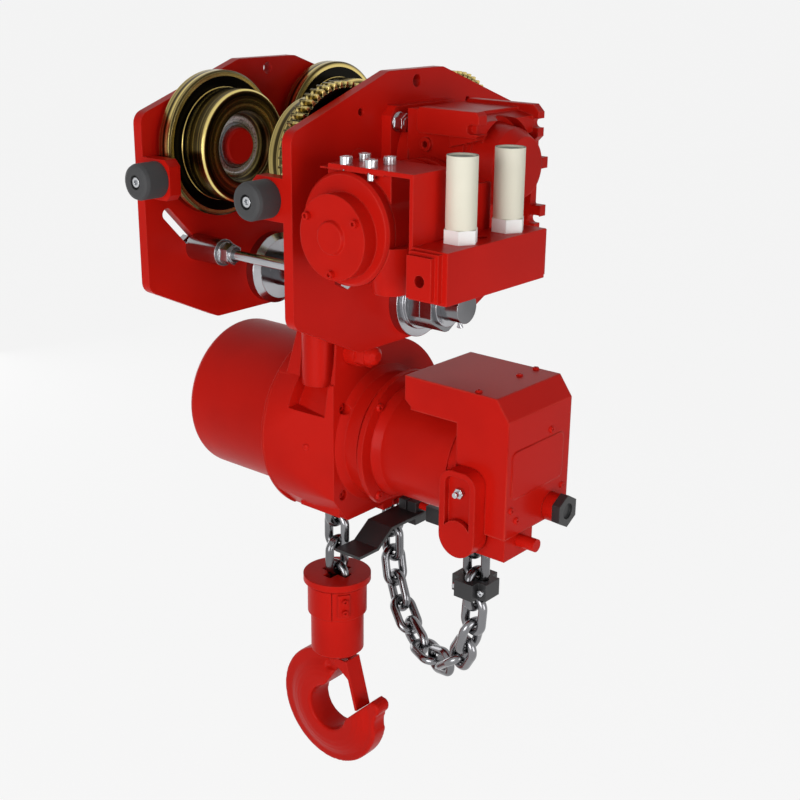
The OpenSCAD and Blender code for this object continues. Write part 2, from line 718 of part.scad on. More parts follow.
// Sheet bracket from the motor's pad to the manifold
module manifold_bracket() {
    y1 = man_y0 + 62;
    color(red) difference() {
        union() {
            block([worm_x - 21, man_y0, motor_top], [brk_x, y1, motor_top + bracket_t]);
            block([brk_x - bracket_t, man_y0, man_top - manifold_h], [brk_x, y1, motor_top + bracket_t]);
            block([brk_x - bracket_t, y1 - 1, man_top - manifold_h], [brk_x, man_y1 - 40, man_top + 48]);
        }
        for (x = screw_x) for (y = screw_y)
            translate([x, y, motor_top - 1]) cylinder(r = 4 + run, h = 20);
    }
}
// Air manifold block with a port at each end
module manifold() {
    zc = man_top - manifold_h / 2;
    xc = brk_x + manifold_w / 2;
    color(red) difference() {
        union() {
            block([brk_x, man_y0, man_top - manifold_h], [man_x, man_y1, man_top]);
            for (s = [0, 1]) translate([xc - 3, s == 0 ? man_y0 : man_y1, zc])
                mirror([0, s, 0]) translate([0, -12, 0]) {
                    block([-16, 0, -21], [14, 13, 21]);
                    along_y(6, 13) polygon([[-18, -24], [18 + 3.5 * s, -24], [18 + 3.5 * s, 24], [-18, 24]]);
                }
        }
        translate([xc - 3, 0, zc - 3]) ycyl(port_r, man_y0 - 13, man_y0 + 40);
        translate([xc - 3, 0, zc - 3]) ycyl(port_r, man_y1 - 40, man_y1 + 13);
        translate([xc, (man_y0 + man_y1) / 2, man_top - 30]) cylinder(r = port_r, h = 31);
        for (y = muffler_y) translate([xc - 1, y, man_top - 20]) cylinder(r = 9, h = 21);
    }
}
// Two exhaust mufflers with their hexagons and threads
module mufflers() {
    color(ivory) for (y = muffler_y) translate([brk_x + manifold_w / 2 - 1, y, man_top]) {
        translate([0, 0, -18]) cylinder(r = 9, h = 18);
        cylinder(r = muffler_d / sqrt(3), h = 14, $fn = 6);
        translate([0, 0, 14]) difference() {
            cylinder(d = muffler_d, h = muffler_h);
            translate([0, 0, muffler_h - 2]) cylinder(d = muffler_d - 4, h = 3);
        }
    }
}
// Output shaft of the gearbox with the travel pinion in mesh with both wheels
module output_shaft() {
    color(steel) translate([0, 0, wheel_z]) {
        along_x(tread_o + 1, wheel_o) gear2d(travel_m, travel_pinion_teeth);
        xcyl(12, wheel_o - 1, gearbox_x - 4);
        xcyl(16 - run, ad_x + 1, gear_x0 + 11);
    }
}
module worm_wheel() {
    color([0.7, 0.5, 0.25]) translate([0, 0, wheel_z]) difference() {
        union() {
            along_x(worm_x - 12, worm_x + 12) gear2d(2, 32);
            xcyl(20, worm_x - 20, worm_x + 20);
        }
        xcyl(12 + 0.01, worm_x - 21, worm_x + 21);
    }
}
// Worm with its shaft, which carries the travel motor's rotor
module worm_shaft() {
    tip = worm_drop - 2 * (16 + 0.9) - slip;
    color(steel) translate([worm_x, 0, worm_z]) {
        ycyl(tip - 4, -28, 28);
        for (i = [-3:3]) translate([0, i * 2 * PI, 0]) rotate([-90, 0, 0]) {
            translate([0, 0, -1.4]) cylinder(r1 = tip - 4, r2 = tip, h = 1.41);
            cylinder(r1 = tip, r2 = tip - 4, h = 1.4);
        }
        ycyl(8, -gearbox_y - 36, gearbox_y - 10);
    }
}
// Vane rotor of the travel motor on its journal, with four vanes in their slots
module travel_rotor() {
    y0 = -travel_motor_end + 13;
    y1 = -gearbox_y - 41;
    color(steel) translate([worm_x, 0, worm_z]) {
        difference() {
            union() {
                ycyl(34, y0, y1);
                ycyl(10, -travel_motor_end - 6, y0 + 1);
                ycyl(13, y1 - 1, -gearbox_y - 36);
            }
            for (a = [0:90:359]) rotate([0, a, 0]) block([18, y0 - 1, -1.6], [35, y1 + 1, 1.6]);
        }
        for (a = [0:90:359]) rotate([0, a, 0])
            block([20, y0 + 0.5, -1.5], [42 - rotor_drop - slip, y1 - 0.5, 1.5]);
    }
}

// Eye that hangs on the load bar and carries the hoist on a pin
module suspension_eye() {
    color(dark) difference() {
        union() {
            translate([0, 0, bar_z]) xcyl(bar_ring_d / 2 - 5, -22, 22);
            translate([0, 0, pin_z]) xcyl(eye_lug_d / 2, -eye_t / 2, eye_t / 2);
            block([-eye_t / 2, -12, pin_z], [eye_t / 2, 12, bar_z - 30]);
        }
        translate([0, 0, bar_z]) xcyl(bar_d / 2 + run, -23, 23);
        translate([0, 0, pin_z]) xcyl(eye_pin_d / 2 + run, -23, 23);
    }
}
// Pin of the suspension, with a hexagon head and a domed end
module suspension_pin() {
    color(red) translate([0, 0, pin_z]) {
        xcyl(eye_pin_d / 2, pin_nut_x - 14, 48);
        xcyl(17, house_x1 + 0.2, 44);
        xhex(28, 44, 58);
        xcone(13, 11, 58, 66);
        xcone(11, 6, 66, 70);
        xhex(26, pin_nut_x - 12, pin_nut_x - 0.2);
    }
}
// Step from the housing's rim down to the front of its drum
drum_step = 0.5;
// Drum of the chain wheel housing, cut flat below
module drum2d(inset = 0) {
    intersection() {
        translate([sh_y, sh_z]) circle(r = house_r - inset, $fn = 128);
        translate([sh_y - 200, house_bot]) square([400, 400]);
    }
}
// Front of the drum, which runs from the round rim on the left to a straight edge on the right
module drum_front() {
    z1 = sh_z + 85;
    y1 = sh_y - sqrt(pow(house_r, 2) - pow(facet_z - sh_z, 2));
    hull() {
        along_x(house_x0 + 3.9, house_x0 + 4) intersection() {
            drum2d(drum_step);
            polygon([[10, z1], [-80, z1], [-80, facet_z], [y1 - 1, facet_z], [facet_y, house_bot], [10, house_bot]]);
        }
        along_x(house_x1 - 0.1, house_x1) polygon([[10, z1], [house_flat, z1], [house_flat, facet_z],
            [facet_y, house_bot], [10, house_bot]]);
    }
}
// The drum behind its front
module drum_rear2d() {
    intersection() {
        drum2d();
        polygon([[house_flat + 1, facet_z + 1], [facet_y + 1, house_bot], [sh_y + 80, house_bot],
            [sh_y + 140, -360], [sh_y + 140, 0], [-200, 0], [-200, sh_z + 85], [house_flat + 1, sh_z + 85]]);
    }
}
// Neck that rises from the drum to the suspension pin
module neck() {
    intersection() {
        along_x(-64, house_x1) polygon([[house_flat, sh_z], [house_flat, flat_top], [house_flat + 7, neck_top],
            [36, neck_top], [70, sh_z + 100], [sh_y, sh_z]]);
        along_y(-80, sh_y) polygon([[-62, sh_z], [-62, flat_top + 4], [-37, neck_top], [house_x1, neck_top],
            [house_x1, sh_z]]);
    }
}
// Pocket in the neck's front with a sloping ledge
module neck_pocket() {
    intersection() {
        along_y(house_flat - 40, house_flat + 19)
            polygon([[-30, neck_top + 1], [-33, -262], [15, -268], [24, -197], [24, neck_top + 1]]);
        along_x(-60, 40) polygon([[house_flat - 40, -268], [house_flat - 2, -268], [house_flat + 4, -254],
            [house_flat + 14, -238], [house_flat + 19, -226], [house_flat + 19, neck_top + 1],
            [house_flat - 40, neck_top + 1]]);
    }
}
// Chain wheel housing: rim, drum with a slanted front flat, and the neck for the suspension
module chain_housing() {
    ch = chain_bar + 4;
    cw = chain_w + 1.5;
    x1 = house_x1;
    x0 = house_x0 + 4;
    slot_t = eye_t + 2;
    color(red) difference() {
        union() {
            along_x(house_x0, x0) drum2d();
            difference() {
                union() {
                    along_x(x0 - 1, x1) drum_rear2d();
                    drum_front();
                    neck();
                }
                neck_pocket();
            }
            translate([-9, -21, -231]) cylinder(r = 22, h = 231 + neck_top);
            translate([0, sh_y, sh_z]) {
                xcone(92, 83, x1 - 1, x1 + 9);
                xcyl(83, x1, 56);
                xcyl(78, 55, flange_x - 8);
            }
            block([-42, -23.5, house_bot + 8], [x1 - 1, facet_y, house_bot + 22]);
            block([-24, 62, house_bot - 9], [x1, 80, house_bot + 8]);
            block([2, rod2_y - 9, rod2_z - 8], [18, rod2_y + 9, house_bot + 20]);
        }
        for (z = [-259, -376]) translate([0, -17, z]) xcyl(7, x1 - 7, x1 + 10);
        front_seats() shank_hole(7, 12);
        translate([0, sh_y, sh_z]) {
            xcyl(chain_r + 14, -26, 25);
            xcyl(40, house_x0 - 1, -25);
            xcyl(40, 24, 53);
            xcyl(30, 52, flange_x);
        }
        for (y = [0, slack_y]) translate([0, y, house_bot - 30]) {
            translate([-cw / 2, -ch / 2, 0]) cube([cw, ch, 110]);
            translate([-ch / 2, -cw / 2, 0]) cube([ch, cw, 110]);
        }
        block([-slot_t / 2, -16, pin_z - eye_lug_d / 2 - 2], [slot_t / 2, 17, neck_top + 5]);
        translate([0, 0, pin_z]) {
            xcyl(eye_pin_d / 2 + run, -60, 60);
            xcyl(17, house_x0 - 1, pin_nut_x);
        }
        translate([0, rod2_y, rod2_z]) xcyl(5 + run, 0, 30);
    }
}
// A hole for the shank of a screw that stands on Z
module shank_hole(d, l) { translate([0, 0, -l - 0.5]) cylinder(d = d + 2 * run, h = l + 2); }
// Seats of the two screws in the housing's front, of the flange's, the gear casing's and the
// cover's screws; each puts its children there, with the head towards their +Z
module front_seats() { for (z = [-259, -376]) translate([house_x1 - 7, -17, z]) rotate([0, 90, 0]) children(); }
module flange_seats() {
    for (a = [45:90:359]) translate([flange_x, sh_y, sh_z]) rotate([a, 0, 0])
        translate([0, 0, 83]) rotate([0, 90, 0]) children();
}
module case_seats() {
    for (a = [15:60:359]) translate([house_x0 - gear_case_l, sh_y, sh_z]) rotate([a, 0, 0])
        translate([0, 0, case_r - 28]) rotate([0, -90, 0]) children();
}
module cover_seats() {
    for (y = [box_y0 + 9, 84, box_y1 - 5]) translate([221, y, box_top]) children();
    for (p = [[82, -254], [111, -334], [4, -334], [16, -350]])
        translate([box_x1, p[0], p[1]]) rotate([0, 90, 0]) children();
}
module housing_screws() {
    color(red) {
        front_seats() button_screw(7, 12);
        flange_seats() button_screw(6, 7);
        case_seats() button_screw(8, 16);
        cover_seats() button_screw(5, 12);
    }
}
// Gear casing with the ring gear cut in its bore
module gear_case() {
    x0 = house_x0 - gear_case_l;
    edge = 10;
    color(red) translate([0, sh_y, sh_z]) difference() {
        union() {
            xcyl(case_r, x0 + edge, house_x0);
            rotate([0, -90, 0]) translate([0, 0, -x0 - edge]) rotate_extrude($fn = 96)
                polygon(concat([[0, 0]], [for (a = [0:15:90]) [case_r - edge + edge * cos(a), edge * sin(a)]],
                    [[0, edge]]));
        }
        along_x(gear_a - 2, gear_b + 2) ring_gear2d(hg_m, ring_n, 0);
        xcyl(carrier_r + 42, gear_b + 1, house_x0 + 1);
        xcyl(12 + run, gear_a - 22, gear_a);
        xcyl(58, x0 - 1, x0 + 3);
        translate([0, -sh_y, -sh_z]) case_seats() shank_hole(8, 16);
    }
}
// Round flange between the housing and the motor, cut flat above and below
module motor_flange() {
    color(red) translate([0, sh_y, sh_z]) difference() {
        intersection() {
            union() {
                xcyl(91, flange_x - 8, flange_x);
            }
            block([50, -100, -70], [80, 100, 100]);
        }
        xcyl(30, 50, 80);
        translate([0, -sh_y, -sh_z]) flange_seats() shank_hole(6, 7);
    }
}
// Motor cylinder of the hoist
module motor_case() {
    color(red) translate([0, sh_y, sh_z]) difference() {
        union() {
            xcone(hm_r + 5, hm_r, flange_x, flange_x + 12);
            xcyl(hm_r, flange_x + 11, 186);
            xcyl(hm_r - 3, 185, box_mid + 1);
        }
        xcyl(56, flange_x + 6, 178);
        xcyl(12 + 0.5, flange_x - 1, flange_x + 8);
        xcyl(12 + run, 170, 190);
    }
}
// Side outline of the control box in X and Z
module box2d(d) {
    polygon([[box_x0 + d, box_top - d], [box_x1 - 18 - d * 0.4, box_top - d],
        [box_x1 - d, box_top - 25 - d * 0.4], [box_x1 - d, box_bot + d], [box_mid + d, box_bot + d],
        [box_mid + d, shelf_z + d], [box_x0 + 9 + d, shelf_z + d], [box_x0 + 9 + d, shelf_z + 4 + d],
        [box_x0 + d, shelf_z + 11 + d]]);
}
// Raised boss on the box's near side: arched top, round foot
module boss2d(r) {
    translate([boss_x, boss_z]) circle(r = r);
    round_poly([[boss_x - r, boss_z], [boss_x - r, -291 - (26 - r)], [boss_x + r, -291 - (26 - r)],
        [boss_x + r, boss_z]], r - 8);
    translate([boss_x - r, boss_z]) square([2 * r, r]);
}
// Valve body inside the cover, with the boss, the port neck and the anchor block
module control_box() {
    c = box_wall + 0.3;
    rod_lug = 10;
    color(red) difference() {
        union() {
            along_y(box_y0 + c, box_y1 - c) intersection() {
                box2d(c);
                polygon([[box_mid + c, 0], [box_x1, 0], [box_x1, -500], [box_mid + c, -500]]);
            }
            along_y(boss_y, box_y0 + c + 1) boss2d(26);
            along_y(box_y1 - c - 1, box_y1 + 6) boss2d(26);
            translate([0, port_y, port_z]) xcyl(17.5, box_x1 - 20, box_x1 + 15 - slip);
            block([192, 3, anchor_z], [265, 60, box_bot + c + 1]);
            block([198, rod2_y - rod_lug, rod2_z - 9], [212, rod2_y + rod_lug, box_bot + c + 1]);
        }
        difference() {
            along_y(boss_y - 1, boss_y + 8) translate([0, 1]) boss2d(18);
            along_y(boss_y - 2, boss_y + 6) translate([boss_x, boss_z]) circle(r = 21);
        }
        translate([boss_x, 0, -319]) ycyl(5, boss_y - 1, boss_y + 22);
        translate([0, port_y, port_z]) xcyl(11, box_x1 - 4, box_x1 + 22);
        translate([box_mid, sh_y, sh_z]) xcyl(14, -1, 40);
        translate([230, 0, -230]) ycyl(9, box_y0, box_y1 - 14);
        block([anchor_x - chain_bar / 2 - 2, anchor_y - chain_w / 2 - 2, anchor_z - 1],
            [anchor_x + chain_bar / 2 + 2, anchor_y + chain_w / 2 + 2, anchor_pin_z + 20]);
        block([anchor_x - chain_w / 2 - 2, anchor_y - chain_bar / 2 - 2, anchor_z - 1],
            [anchor_x + chain_w / 2 + 2, anchor_y + chain_bar / 2 + 2, anchor_pin_z - 9]);
        translate([0, anchor_y, anchor_pin_z]) xcyl(5 + run, 190, 280);
        translate([0, rod2_y, rod2_z]) xcyl(5 + run, 190, 230);
        translate([0, sh_y, sh_z]) xcyl(hm_r - 2.8, box_mid - 30, box_mid + c);
        cover_seats() shank_hole(5, 12);
    }
}
// Sheet cover over the valve body and the motor's end
module box_cover() {
    c = box_wall;
    color(red) difference() {
        union() {
            along_y(box_y0, box_y1) box2d(0);
            along_x(box_x1 - 1, box_x1 + 1.2) round_poly([[3, -262], [109, -262], [109, -321], [3, -321]], 8);
        }
        along_y(box_y0 + c, box_y1 - c) box2d(c);
        along_y(box_y0 - 1, box_y0 + c + 2) boss2d(26.2);
        along_y(box_y1 - c - 2, box_y1 + 1) boss2d(26.2);
        cover_seats() shank_hole(5, 12);
        translate([0, port_y, port_z]) xcyl(17.7, box_x1 - 20, box_x1 + 21);
        block([191.8, 2.8, box_bot - 1], [265.2, 60.2, box_bot + c + 2]);
        block([197.8, rod2_y - 10.2, box_bot - 1], [212.2, rod2_y + 10.2, box_bot + c + 2]);
        translate([0, sh_y, sh_z]) xcyl(hm_r - 2.8, box_mid - 1, box_mid + c + 1);
    }
}
// Small breather with a hexagon and a dark tip
module breather() {
    color(steel) translate([boss_x, boss_y + 6, -319]) {
        ycyl(4.8, 0, 12);
        translate([0, -4, 0]) rotate([-90, 0, 0]) cylinder(r = 6.5, h = 6, $fn = 6);
        ycyl(3.4, -11, -3);
    }
}
// Hexagon plug in the port neck
module end_plug() {
    color(black) translate([-6, port_y, port_z]) {
        xcyl(10.9, box_x1 + 4, box_x1 + 22);
        difference() {
            xhex(36, box_x1 + 21, box_x1 + 32);
            xcyl(10, box_x1 + 29, box_x1 + 40);
        }
    }
}
// Pin that anchors the end of the slack chain
module anchor_pin() {
    color(red) translate([0, anchor_y, anchor_pin_z]) {
        xcyl(5, 193, 266);
        xcyl(8, 265.2, 291);
    }
}

// Slant of the upright plane in which the slack chain hangs, from the housing to the anchor
slack_w = norm([anchor_x, anchor_y - slack_y]);
slack_slant = atan2(anchor_y - slack_y, anchor_x);
// How far each link of the slack chain is turned from straight down, from the anchor on
slack_bend = [0, -1, 0, 6, 19, 35, 53, 72, 92, 111, 130, 148, 165, 178, 183, 183, 181];
slack_n = len(slack_bend);
// The chain twists a little from link to link, so that it enters both ends square
slack_twist = -2 * slack_slant / (slack_n - 1);
function run_to(i) = i == 0 ? [0, 0]
    : run_to(i - 1) + chain_pitch * [sin(slack_bend[i - 1]), cos(slack_bend[i - 1])];
slack_fit = slack_w / run_to(slack_n)[0];
function joint_at(i) = [slack_w - slack_fit * run_to(i)[0], anchor_pin_z + 5 - run_to(i)[1]];
// Links of the slack chain from one to another, with their bar made thicker by grow
module slack_links(i0, i1, grow = 0) {
    translate([0, slack_y, 0]) rotate([0, 0, slack_slant]) for (i = [i0:i1]) {
        a = joint_at(i);
        b = joint_at(i + 1);
        m = (a + b) / 2;
        translate([m[0], 0, m[1]]) rotate([0, atan2(b[0] - a[0], b[1] - a[1]), 0])
            rotate([0, 0, slack_slant + i * slack_twist + (i % 2 == 0 ? 90 : 0)]) link(slack_play, grow);
    }
}
module slack_chain() { color(dark) slack_links(0, slack_n - 1); }
// Cross-shaped stop clamped on the slack chain
module chain_stop() {
    color(black) difference() {
        translate([anchor_x, anchor_y, stop_z]) {
            block([-26, -14, -11], [26, 14, 11]);
            block([-14, -26, -11], [14, 26, 11]);
        }
        slack_links(1, 3, 1);
        stop_seats() shank_hole(5, 5);
    }
}
// Seats of the stop's four bolts
module stop_seats() {
    translate([anchor_x, anchor_y, stop_z]) for (a = [0:90:359]) rotate([0, 0, a])
        translate([20, -14, 0]) rotate([90, 0, 0]) children();
}
module stop_bolts() { color(steel) stop_seats() cap_screw(5, 5); }
// Bearings of the chain wheel in the housing
module shaft_bearings() {
    color(steel) translate([0, sh_y, sh_z]) for (x = [[-60, -42], [30, 48]]) {
        xring(40 - 0.02, 34, x[0], x[1]);
        xring(27, 20 + run, x[0], x[1]);
        for (a = [0:40:359]) rotate([a, 0, 0]) translate([(x[0] + x[1]) / 2, 0, 30.5])
            sphere(r = 4.2, $fn = 24);
    }
}
// Chain wheel with its hollow shaft and the planet carrier
module load_wheel() {
    r = chain_r + chain_bar / 2 + 2;
    color(steel) translate([0, sh_y, sh_z]) difference() {
        union() {
            xcyl(r, -22, 22);
            xcyl(20, gear_b + 2, 50);
            xcyl(carrier_r + 14, gear_b + 3, gear_b + 12);
            for (i = [0:2]) rotate([i * 120, 0, 0]) translate([0, carrier_r, 0])
                xcyl(9, gear_a, gear_b + 4);
        }
        xcyl(14, gear_a - 1, 51);
        rotate([0, 90, 0]) rotate_extrude()
            translate([r, 0]) square([2 * (chain_w / 2 - chain_bar / 2 + 5), chain_bar + 2], center = true);
        for (i = [0:pockets - 1]) rotate([36 + i * 360 / pockets, 0, 0])
            translate([0, 0, chain_r]) {
                e = (chain_w + 2 - chain_bar) / 2;
                h = chain_pitch / 2 + chain_bar - chain_w / 2;
                for (s = [-1, 1]) for (u = [-1, 1]) translate([s * e * 0.999, 0, 0])
                    rotate([90, 0, 0]) cylinder(r = chain_bar / 2 + 1, h = 2 * h + 20, center = true);
                block([-chain_w / 2 - 1, -h - 12, 0], [chain_w / 2 + 1, h + 12, 20]);
            }
    }
}
// One planet gear, turned so that its teeth meet the sun and the ring
module planet(i) {
    a = i * 120;
    color(steel) translate([0, sh_y + carrier_r * cos(a), sh_z + carrier_r * sin(a)]) difference() {
        along_x(gear_a + 2, gear_b) gear2d(hg_m, planet_n, a);
        xcyl(9 + run, gear_a, gear_b + 2);
    }
}
module planet_gear_1() { planet(0); }
module planet_gear_2() { planet(1); }
module planet_gear_3() { planet(2); }
// Hoist motor rotor with its vanes, and the shaft with the sun gear
module hoist_rotor() {
    color(steel) translate([0, sh_y, sh_z]) {
        along_x(gear_a, gear_b) gear2d(hg_m, sun_n);
        xcyl(12, gear_a - 20, 188);
        difference() {
            xcyl(46, 80, 168);
            for (a = [0:90:359]) rotate([a, 0, 0]) block([79, -1.7, 26], [169, 1.7, 47]);
        }
        for (a = [0:90:359]) rotate([a, 0, 0]) block([81, -1.6, 28], [167, 1.6, 55]);
    }
}
// Rod that carries the limit lever and turns the valve in the control box
module limit_rod() {
    color(red) translate([0, rod2_y, rod2_z]) xcyl(5, 0, 210);
}
// Bent limit lever on the rod, with its guide for the slack chain
module limit_lever() {
    t = 4;
    z = rod2_z - 7;
    x0 = house_x1 + 2;
    color(black) difference() {
        union() {
            along_x(23, 64) polygon([[-28, -452], [10, -452], [38, z - t], [rod2_y, z - t],
                [rod2_y, z], [36, z], [8, -452 + t], [-28, -452 + t]]);
            block([x0, rod2_y - 12, z - 18], [x0 + 12, rod2_y + 12, rod2_z + 7]);
            block([x0 + 15, rod2_y - 12, z - 18], [x0 + 29, rod2_y + 12, rod2_z + 7]);
            block([x0, rod2_y - 12, z - 18], [x0 + 29, rod2_y + 12, z]);
            block([74, rod2_y - 10, z - 8], [98, rod2_y + 12, rod2_z + 7]);
        }
        translate([0, rod2_y, rod2_z]) xcyl(5 + 0.01, 0, 200);
    }
}
// Load chain from the housing down to its pin in the hook block
load_n = 4;
chain_pin_z = -25;
module load_chain() {
    color(dark) for (i = [0:load_n - 1])
        translate([0, 0, block_z + chain_pin_z - 5 + (i + 0.5) * chain_pitch])
            rotate([0, 0, (i % 2) * 90]) link(chain_play);
}
// Barrel of the hook block with its top flange, the pocket for the chain and the hook's chamber
module hook_block() {
    r = block_d / 2;
    pocket = chain_pin_z - 5 - chain_bar - 1;
    color(red) translate([0, 0, block_z]) difference() {
        union() {
            translate([0, 0, -9]) cylinder(d = block_flange_d, h = 9);
            translate([0, 0, -13]) cylinder(d = block_flange_d - 12, h = 5);
            translate([0, 0, -block_h + 4]) cylinder(r = r, h = block_h - 10);
            translate([0, 0, -block_h]) cylinder(r1 = r - 4, r2 = r, h = 4.01);
        }
        translate([-chain_w / 2 - 1, -chain_bar / 2 - 1, pocket]) cube([chain_w + 2, chain_bar + 2, 1 - pocket]);
        translate([-chain_bar / 2 - 1, -chain_w / 2 - 1, pocket]) cube([chain_bar + 2, chain_w + 2, 1 - pocket]);
        translate([0, 0, -86]) cylinder(r = 26, h = 36);
        translate([0, 0, -block_h - 1]) cylinder(r = 14 + run, h = block_h - 70);
        translate([0, 0, chain_pin_z]) ycyl(5 + run, -r - 1, r + 1);
    }
}
// Two half shells clamped round the barrel under the flange
module block_shells() {
    r = block_d / 2 + 0.1;
    color(red) difference() {
        translate([0, 0, block_z]) for (s = [0, 180]) rotate([0, 0, s - 58]) difference() {
            union() {
                translate([0, 0, -54]) cylinder(r = r + 4, h = 40.8);
                intersection() {
                    translate([0, 0, -47]) cylinder(r = r + 7, h = 32);
                    rotate([0, 0, 8]) block([0, 3, -52], [60, 18, -12]);
                }
            }
            translate([0, 0, -57]) cylinder(r = r, h = 50);
            block([-60, -60, -60], [60, 0.4, 0]);
        }
        shell_seats() shank_hole(4.5, 6);
    }
}
// Seats of the shells' screws
module shell_seats() {
    translate([0, 0, block_z]) for (s = [0, 180]) rotate([0, 0, s - 34]) for (z = [-23, -39])
        translate([block_d / 2 + 7.1, 0, z]) rotate([0, 90, 0]) children();
}
// Screws of the shells, and the pin that holds the load chain's last link
module block_fasteners() {
    color(red) {
        shell_seats() cap_screw(4.5, 6);
        translate([0, 0, block_z + chain_pin_z]) ycyl(5, -block_d / 2 + 1, block_d / 2 - 1);
    }
}
// Thrust bearing under the hook's nut
module thrust_bearing() {
    color(steel) translate([0, 0, block_z]) {
        for (z = [-85.8, -74]) difference() {
            translate([0, 0, z]) cylinder(r = 24, h = 4);
            translate([0, 0, z - 1]) cylinder(r = 14 + run, h = 8);
        }
        for (a = [0:30:359]) rotate([0, 0, a]) translate([19, 0, -77.9]) sphere(r = 4.4, $fn = 24);
    }
}
// Hook outline in X and Z round the bowl's centre
module hook2d() {
    top = bowl_drop - 0.4;
    difference() {
        union() {
            translate([-6, 2.5]) circle(r = hook_r, $fn = 96);
            polygon([[-70, 45], [-46, 74], [-36, 83], [-30, top], [16, top], [14, 82], [9, 55], [-10, 30]]);
            slot2d([58, 8], [74, 27], 9.5);
        }
        translate([-2.5, 2]) circle(r = bowl_r, $fn = 96);
        polygon([[-2.5, 2], [28, -5], [40, 7], [54, 21], [68, 34.9], [80, 50], [110, 100], [20, 110],
            [15, 82], [8, 62], [2, 50], [-7, 36.5], [-16, 30], [-20, 10]]);
        polygon([[88, 33], [83, 21], [77, 12], [74.5, 4], [75.5, -8], [110, -20], [120, 40]]);
    }
}
// Pivot of the latch in the hook's neck, from the bowl's centre
latch_x = 5;
latch_z = 76;
neck_t = 22;
// Swivel hook with its shank and nut, thickest round the bowl
module hook() {
    color(red) {
        translate([0, 0, bowl_z]) difference() {
            union() {
                along_y(-hook_t / 2, hook_t / 2) hook2d();
                for (q = [[68, 0.3], [63, 0.6], [57, 0.85], [50, 1]]) {
                    t = hook_t / 2 + q[1] * (bowl_t - hook_t) / 2;
                    along_y(-t, t) intersection() {
                        translate([-4, 1]) circle(r = q[0], $fn = 96);
                        hook2d();
                    }
                }
            }
            translate([latch_x, 0, latch_z]) ycyl(2.5 + run, -30, 30);
            for (s = [0, 1]) mirror([0, s, 0]) block([-8, neck_t / 2, latch_z - 14], [60, 30, 100]);
        }
        translate([0, 0, hook_z - 0.6]) cylinder(r = 14, h = block_z - 68 - hook_z);
        translate([0, 0, block_z - 69.7]) cylinder(r = 22, h = 18);
    }
}
// Spring latch across the hook's mouth, with a cheek on each side of the neck
module latch() {
    y0 = neck_t / 2 + slip;
    y1 = y0 + 2;
    color(red) translate([latch_x, 0, bowl_z + latch_z]) difference() {
        rotate([0, -16, 0]) {
            block([19.3, -y1, -70.5], [23.3, y1, 0]);
            for (s = [0, 1]) mirror([0, s, 0]) along_y(y0, y1) {
                circle(r = 6);
                polygon([[-2, 5.6], [19.4, 0], [19.4, -26], [8, -12], [-3, -5.2]]);
            }
        }
        ycyl(2.5 + run, -30, 30);
    }
}
module latch_pin() {
    color(red) translate([latch_x, 0, bowl_z + latch_z]) ycyl(2.5, -neck_t / 2 - 3, neck_t / 2 + 3);
}

drive_plate();
idle_plate();
bumpers();
trolley_screws();
wheel_axles();
wheel_bearings();
load_bar();
bar_rings();
bar_nuts();
guard_rod();
rod_sleeve();
stud_nuts();
adapter_plate();
gearbox_case();
gearbox_cover();
travel_motor_case();
travel_motor_cover();
travel_cover_screws();
manifold_bracket();
manifold();
mufflers();
drive_wheel_front();
drive_wheel_rear();
idle_wheel_front();
idle_wheel_rear();
output_shaft();
worm_wheel();
worm_shaft();
travel_rotor();
suspension_eye();
suspension_pin();
chain_housing();
housing_screws();
gear_case();
motor_flange();
motor_case();
control_box();
box_cover();
breather();
end_plug();
anchor_pin();
slack_chain();
chain_stop();
stop_bolts();
shaft_bearings();
load_wheel();
planet_gear_1();
planet_gear_2();
planet_gear_3();
hoist_rotor();
limit_rod();
limit_lever();
load_chain();
hook_block();
block_shells();
block_fasteners();
thrust_bearing();
hook();
latch();
latch_pin();
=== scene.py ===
"""Looks of the air hoist with trolley: finishes, small turned pieces, studio and camera.

Everything is in metres in the frame's axes: +X across the beam towards the travel motor,
+Y along the beam, +Z up, with the origin on the running surface of the beam's flange.
"""
from __future__ import annotations

import json
import logging
import math
from contextlib import contextmanager
from dataclasses import dataclass
from enum import Enum
from typing import Any, ClassVar, Iterator, Sequence

import bpy
from mathutils import Matrix, Quaternion, Vector

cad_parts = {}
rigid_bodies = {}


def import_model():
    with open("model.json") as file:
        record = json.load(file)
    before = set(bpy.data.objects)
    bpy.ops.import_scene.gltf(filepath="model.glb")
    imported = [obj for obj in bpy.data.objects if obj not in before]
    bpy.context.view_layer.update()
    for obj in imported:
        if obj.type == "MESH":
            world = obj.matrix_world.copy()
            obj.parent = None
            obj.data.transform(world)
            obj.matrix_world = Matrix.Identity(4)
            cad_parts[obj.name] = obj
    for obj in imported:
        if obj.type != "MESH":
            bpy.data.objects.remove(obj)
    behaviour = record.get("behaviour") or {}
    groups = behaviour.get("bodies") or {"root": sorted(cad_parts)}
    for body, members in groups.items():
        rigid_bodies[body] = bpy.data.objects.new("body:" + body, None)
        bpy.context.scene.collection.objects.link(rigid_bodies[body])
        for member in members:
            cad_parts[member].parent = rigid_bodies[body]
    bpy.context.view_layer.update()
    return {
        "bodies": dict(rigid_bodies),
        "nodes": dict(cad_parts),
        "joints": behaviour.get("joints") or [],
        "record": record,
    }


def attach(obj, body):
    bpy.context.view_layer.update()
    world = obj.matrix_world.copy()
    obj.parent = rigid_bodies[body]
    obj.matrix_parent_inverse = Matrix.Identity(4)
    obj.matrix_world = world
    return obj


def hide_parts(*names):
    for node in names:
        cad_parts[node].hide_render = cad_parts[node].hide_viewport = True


log = logging.getLogger("air_hoist")

Triple = tuple[float, float, float]
Corner = tuple[float, float]

# The wheels' axes: their distance from the trolley's middle along the beam, and their height.
WHEEL_Y = 0.0975
WHEEL_Z = 0.065
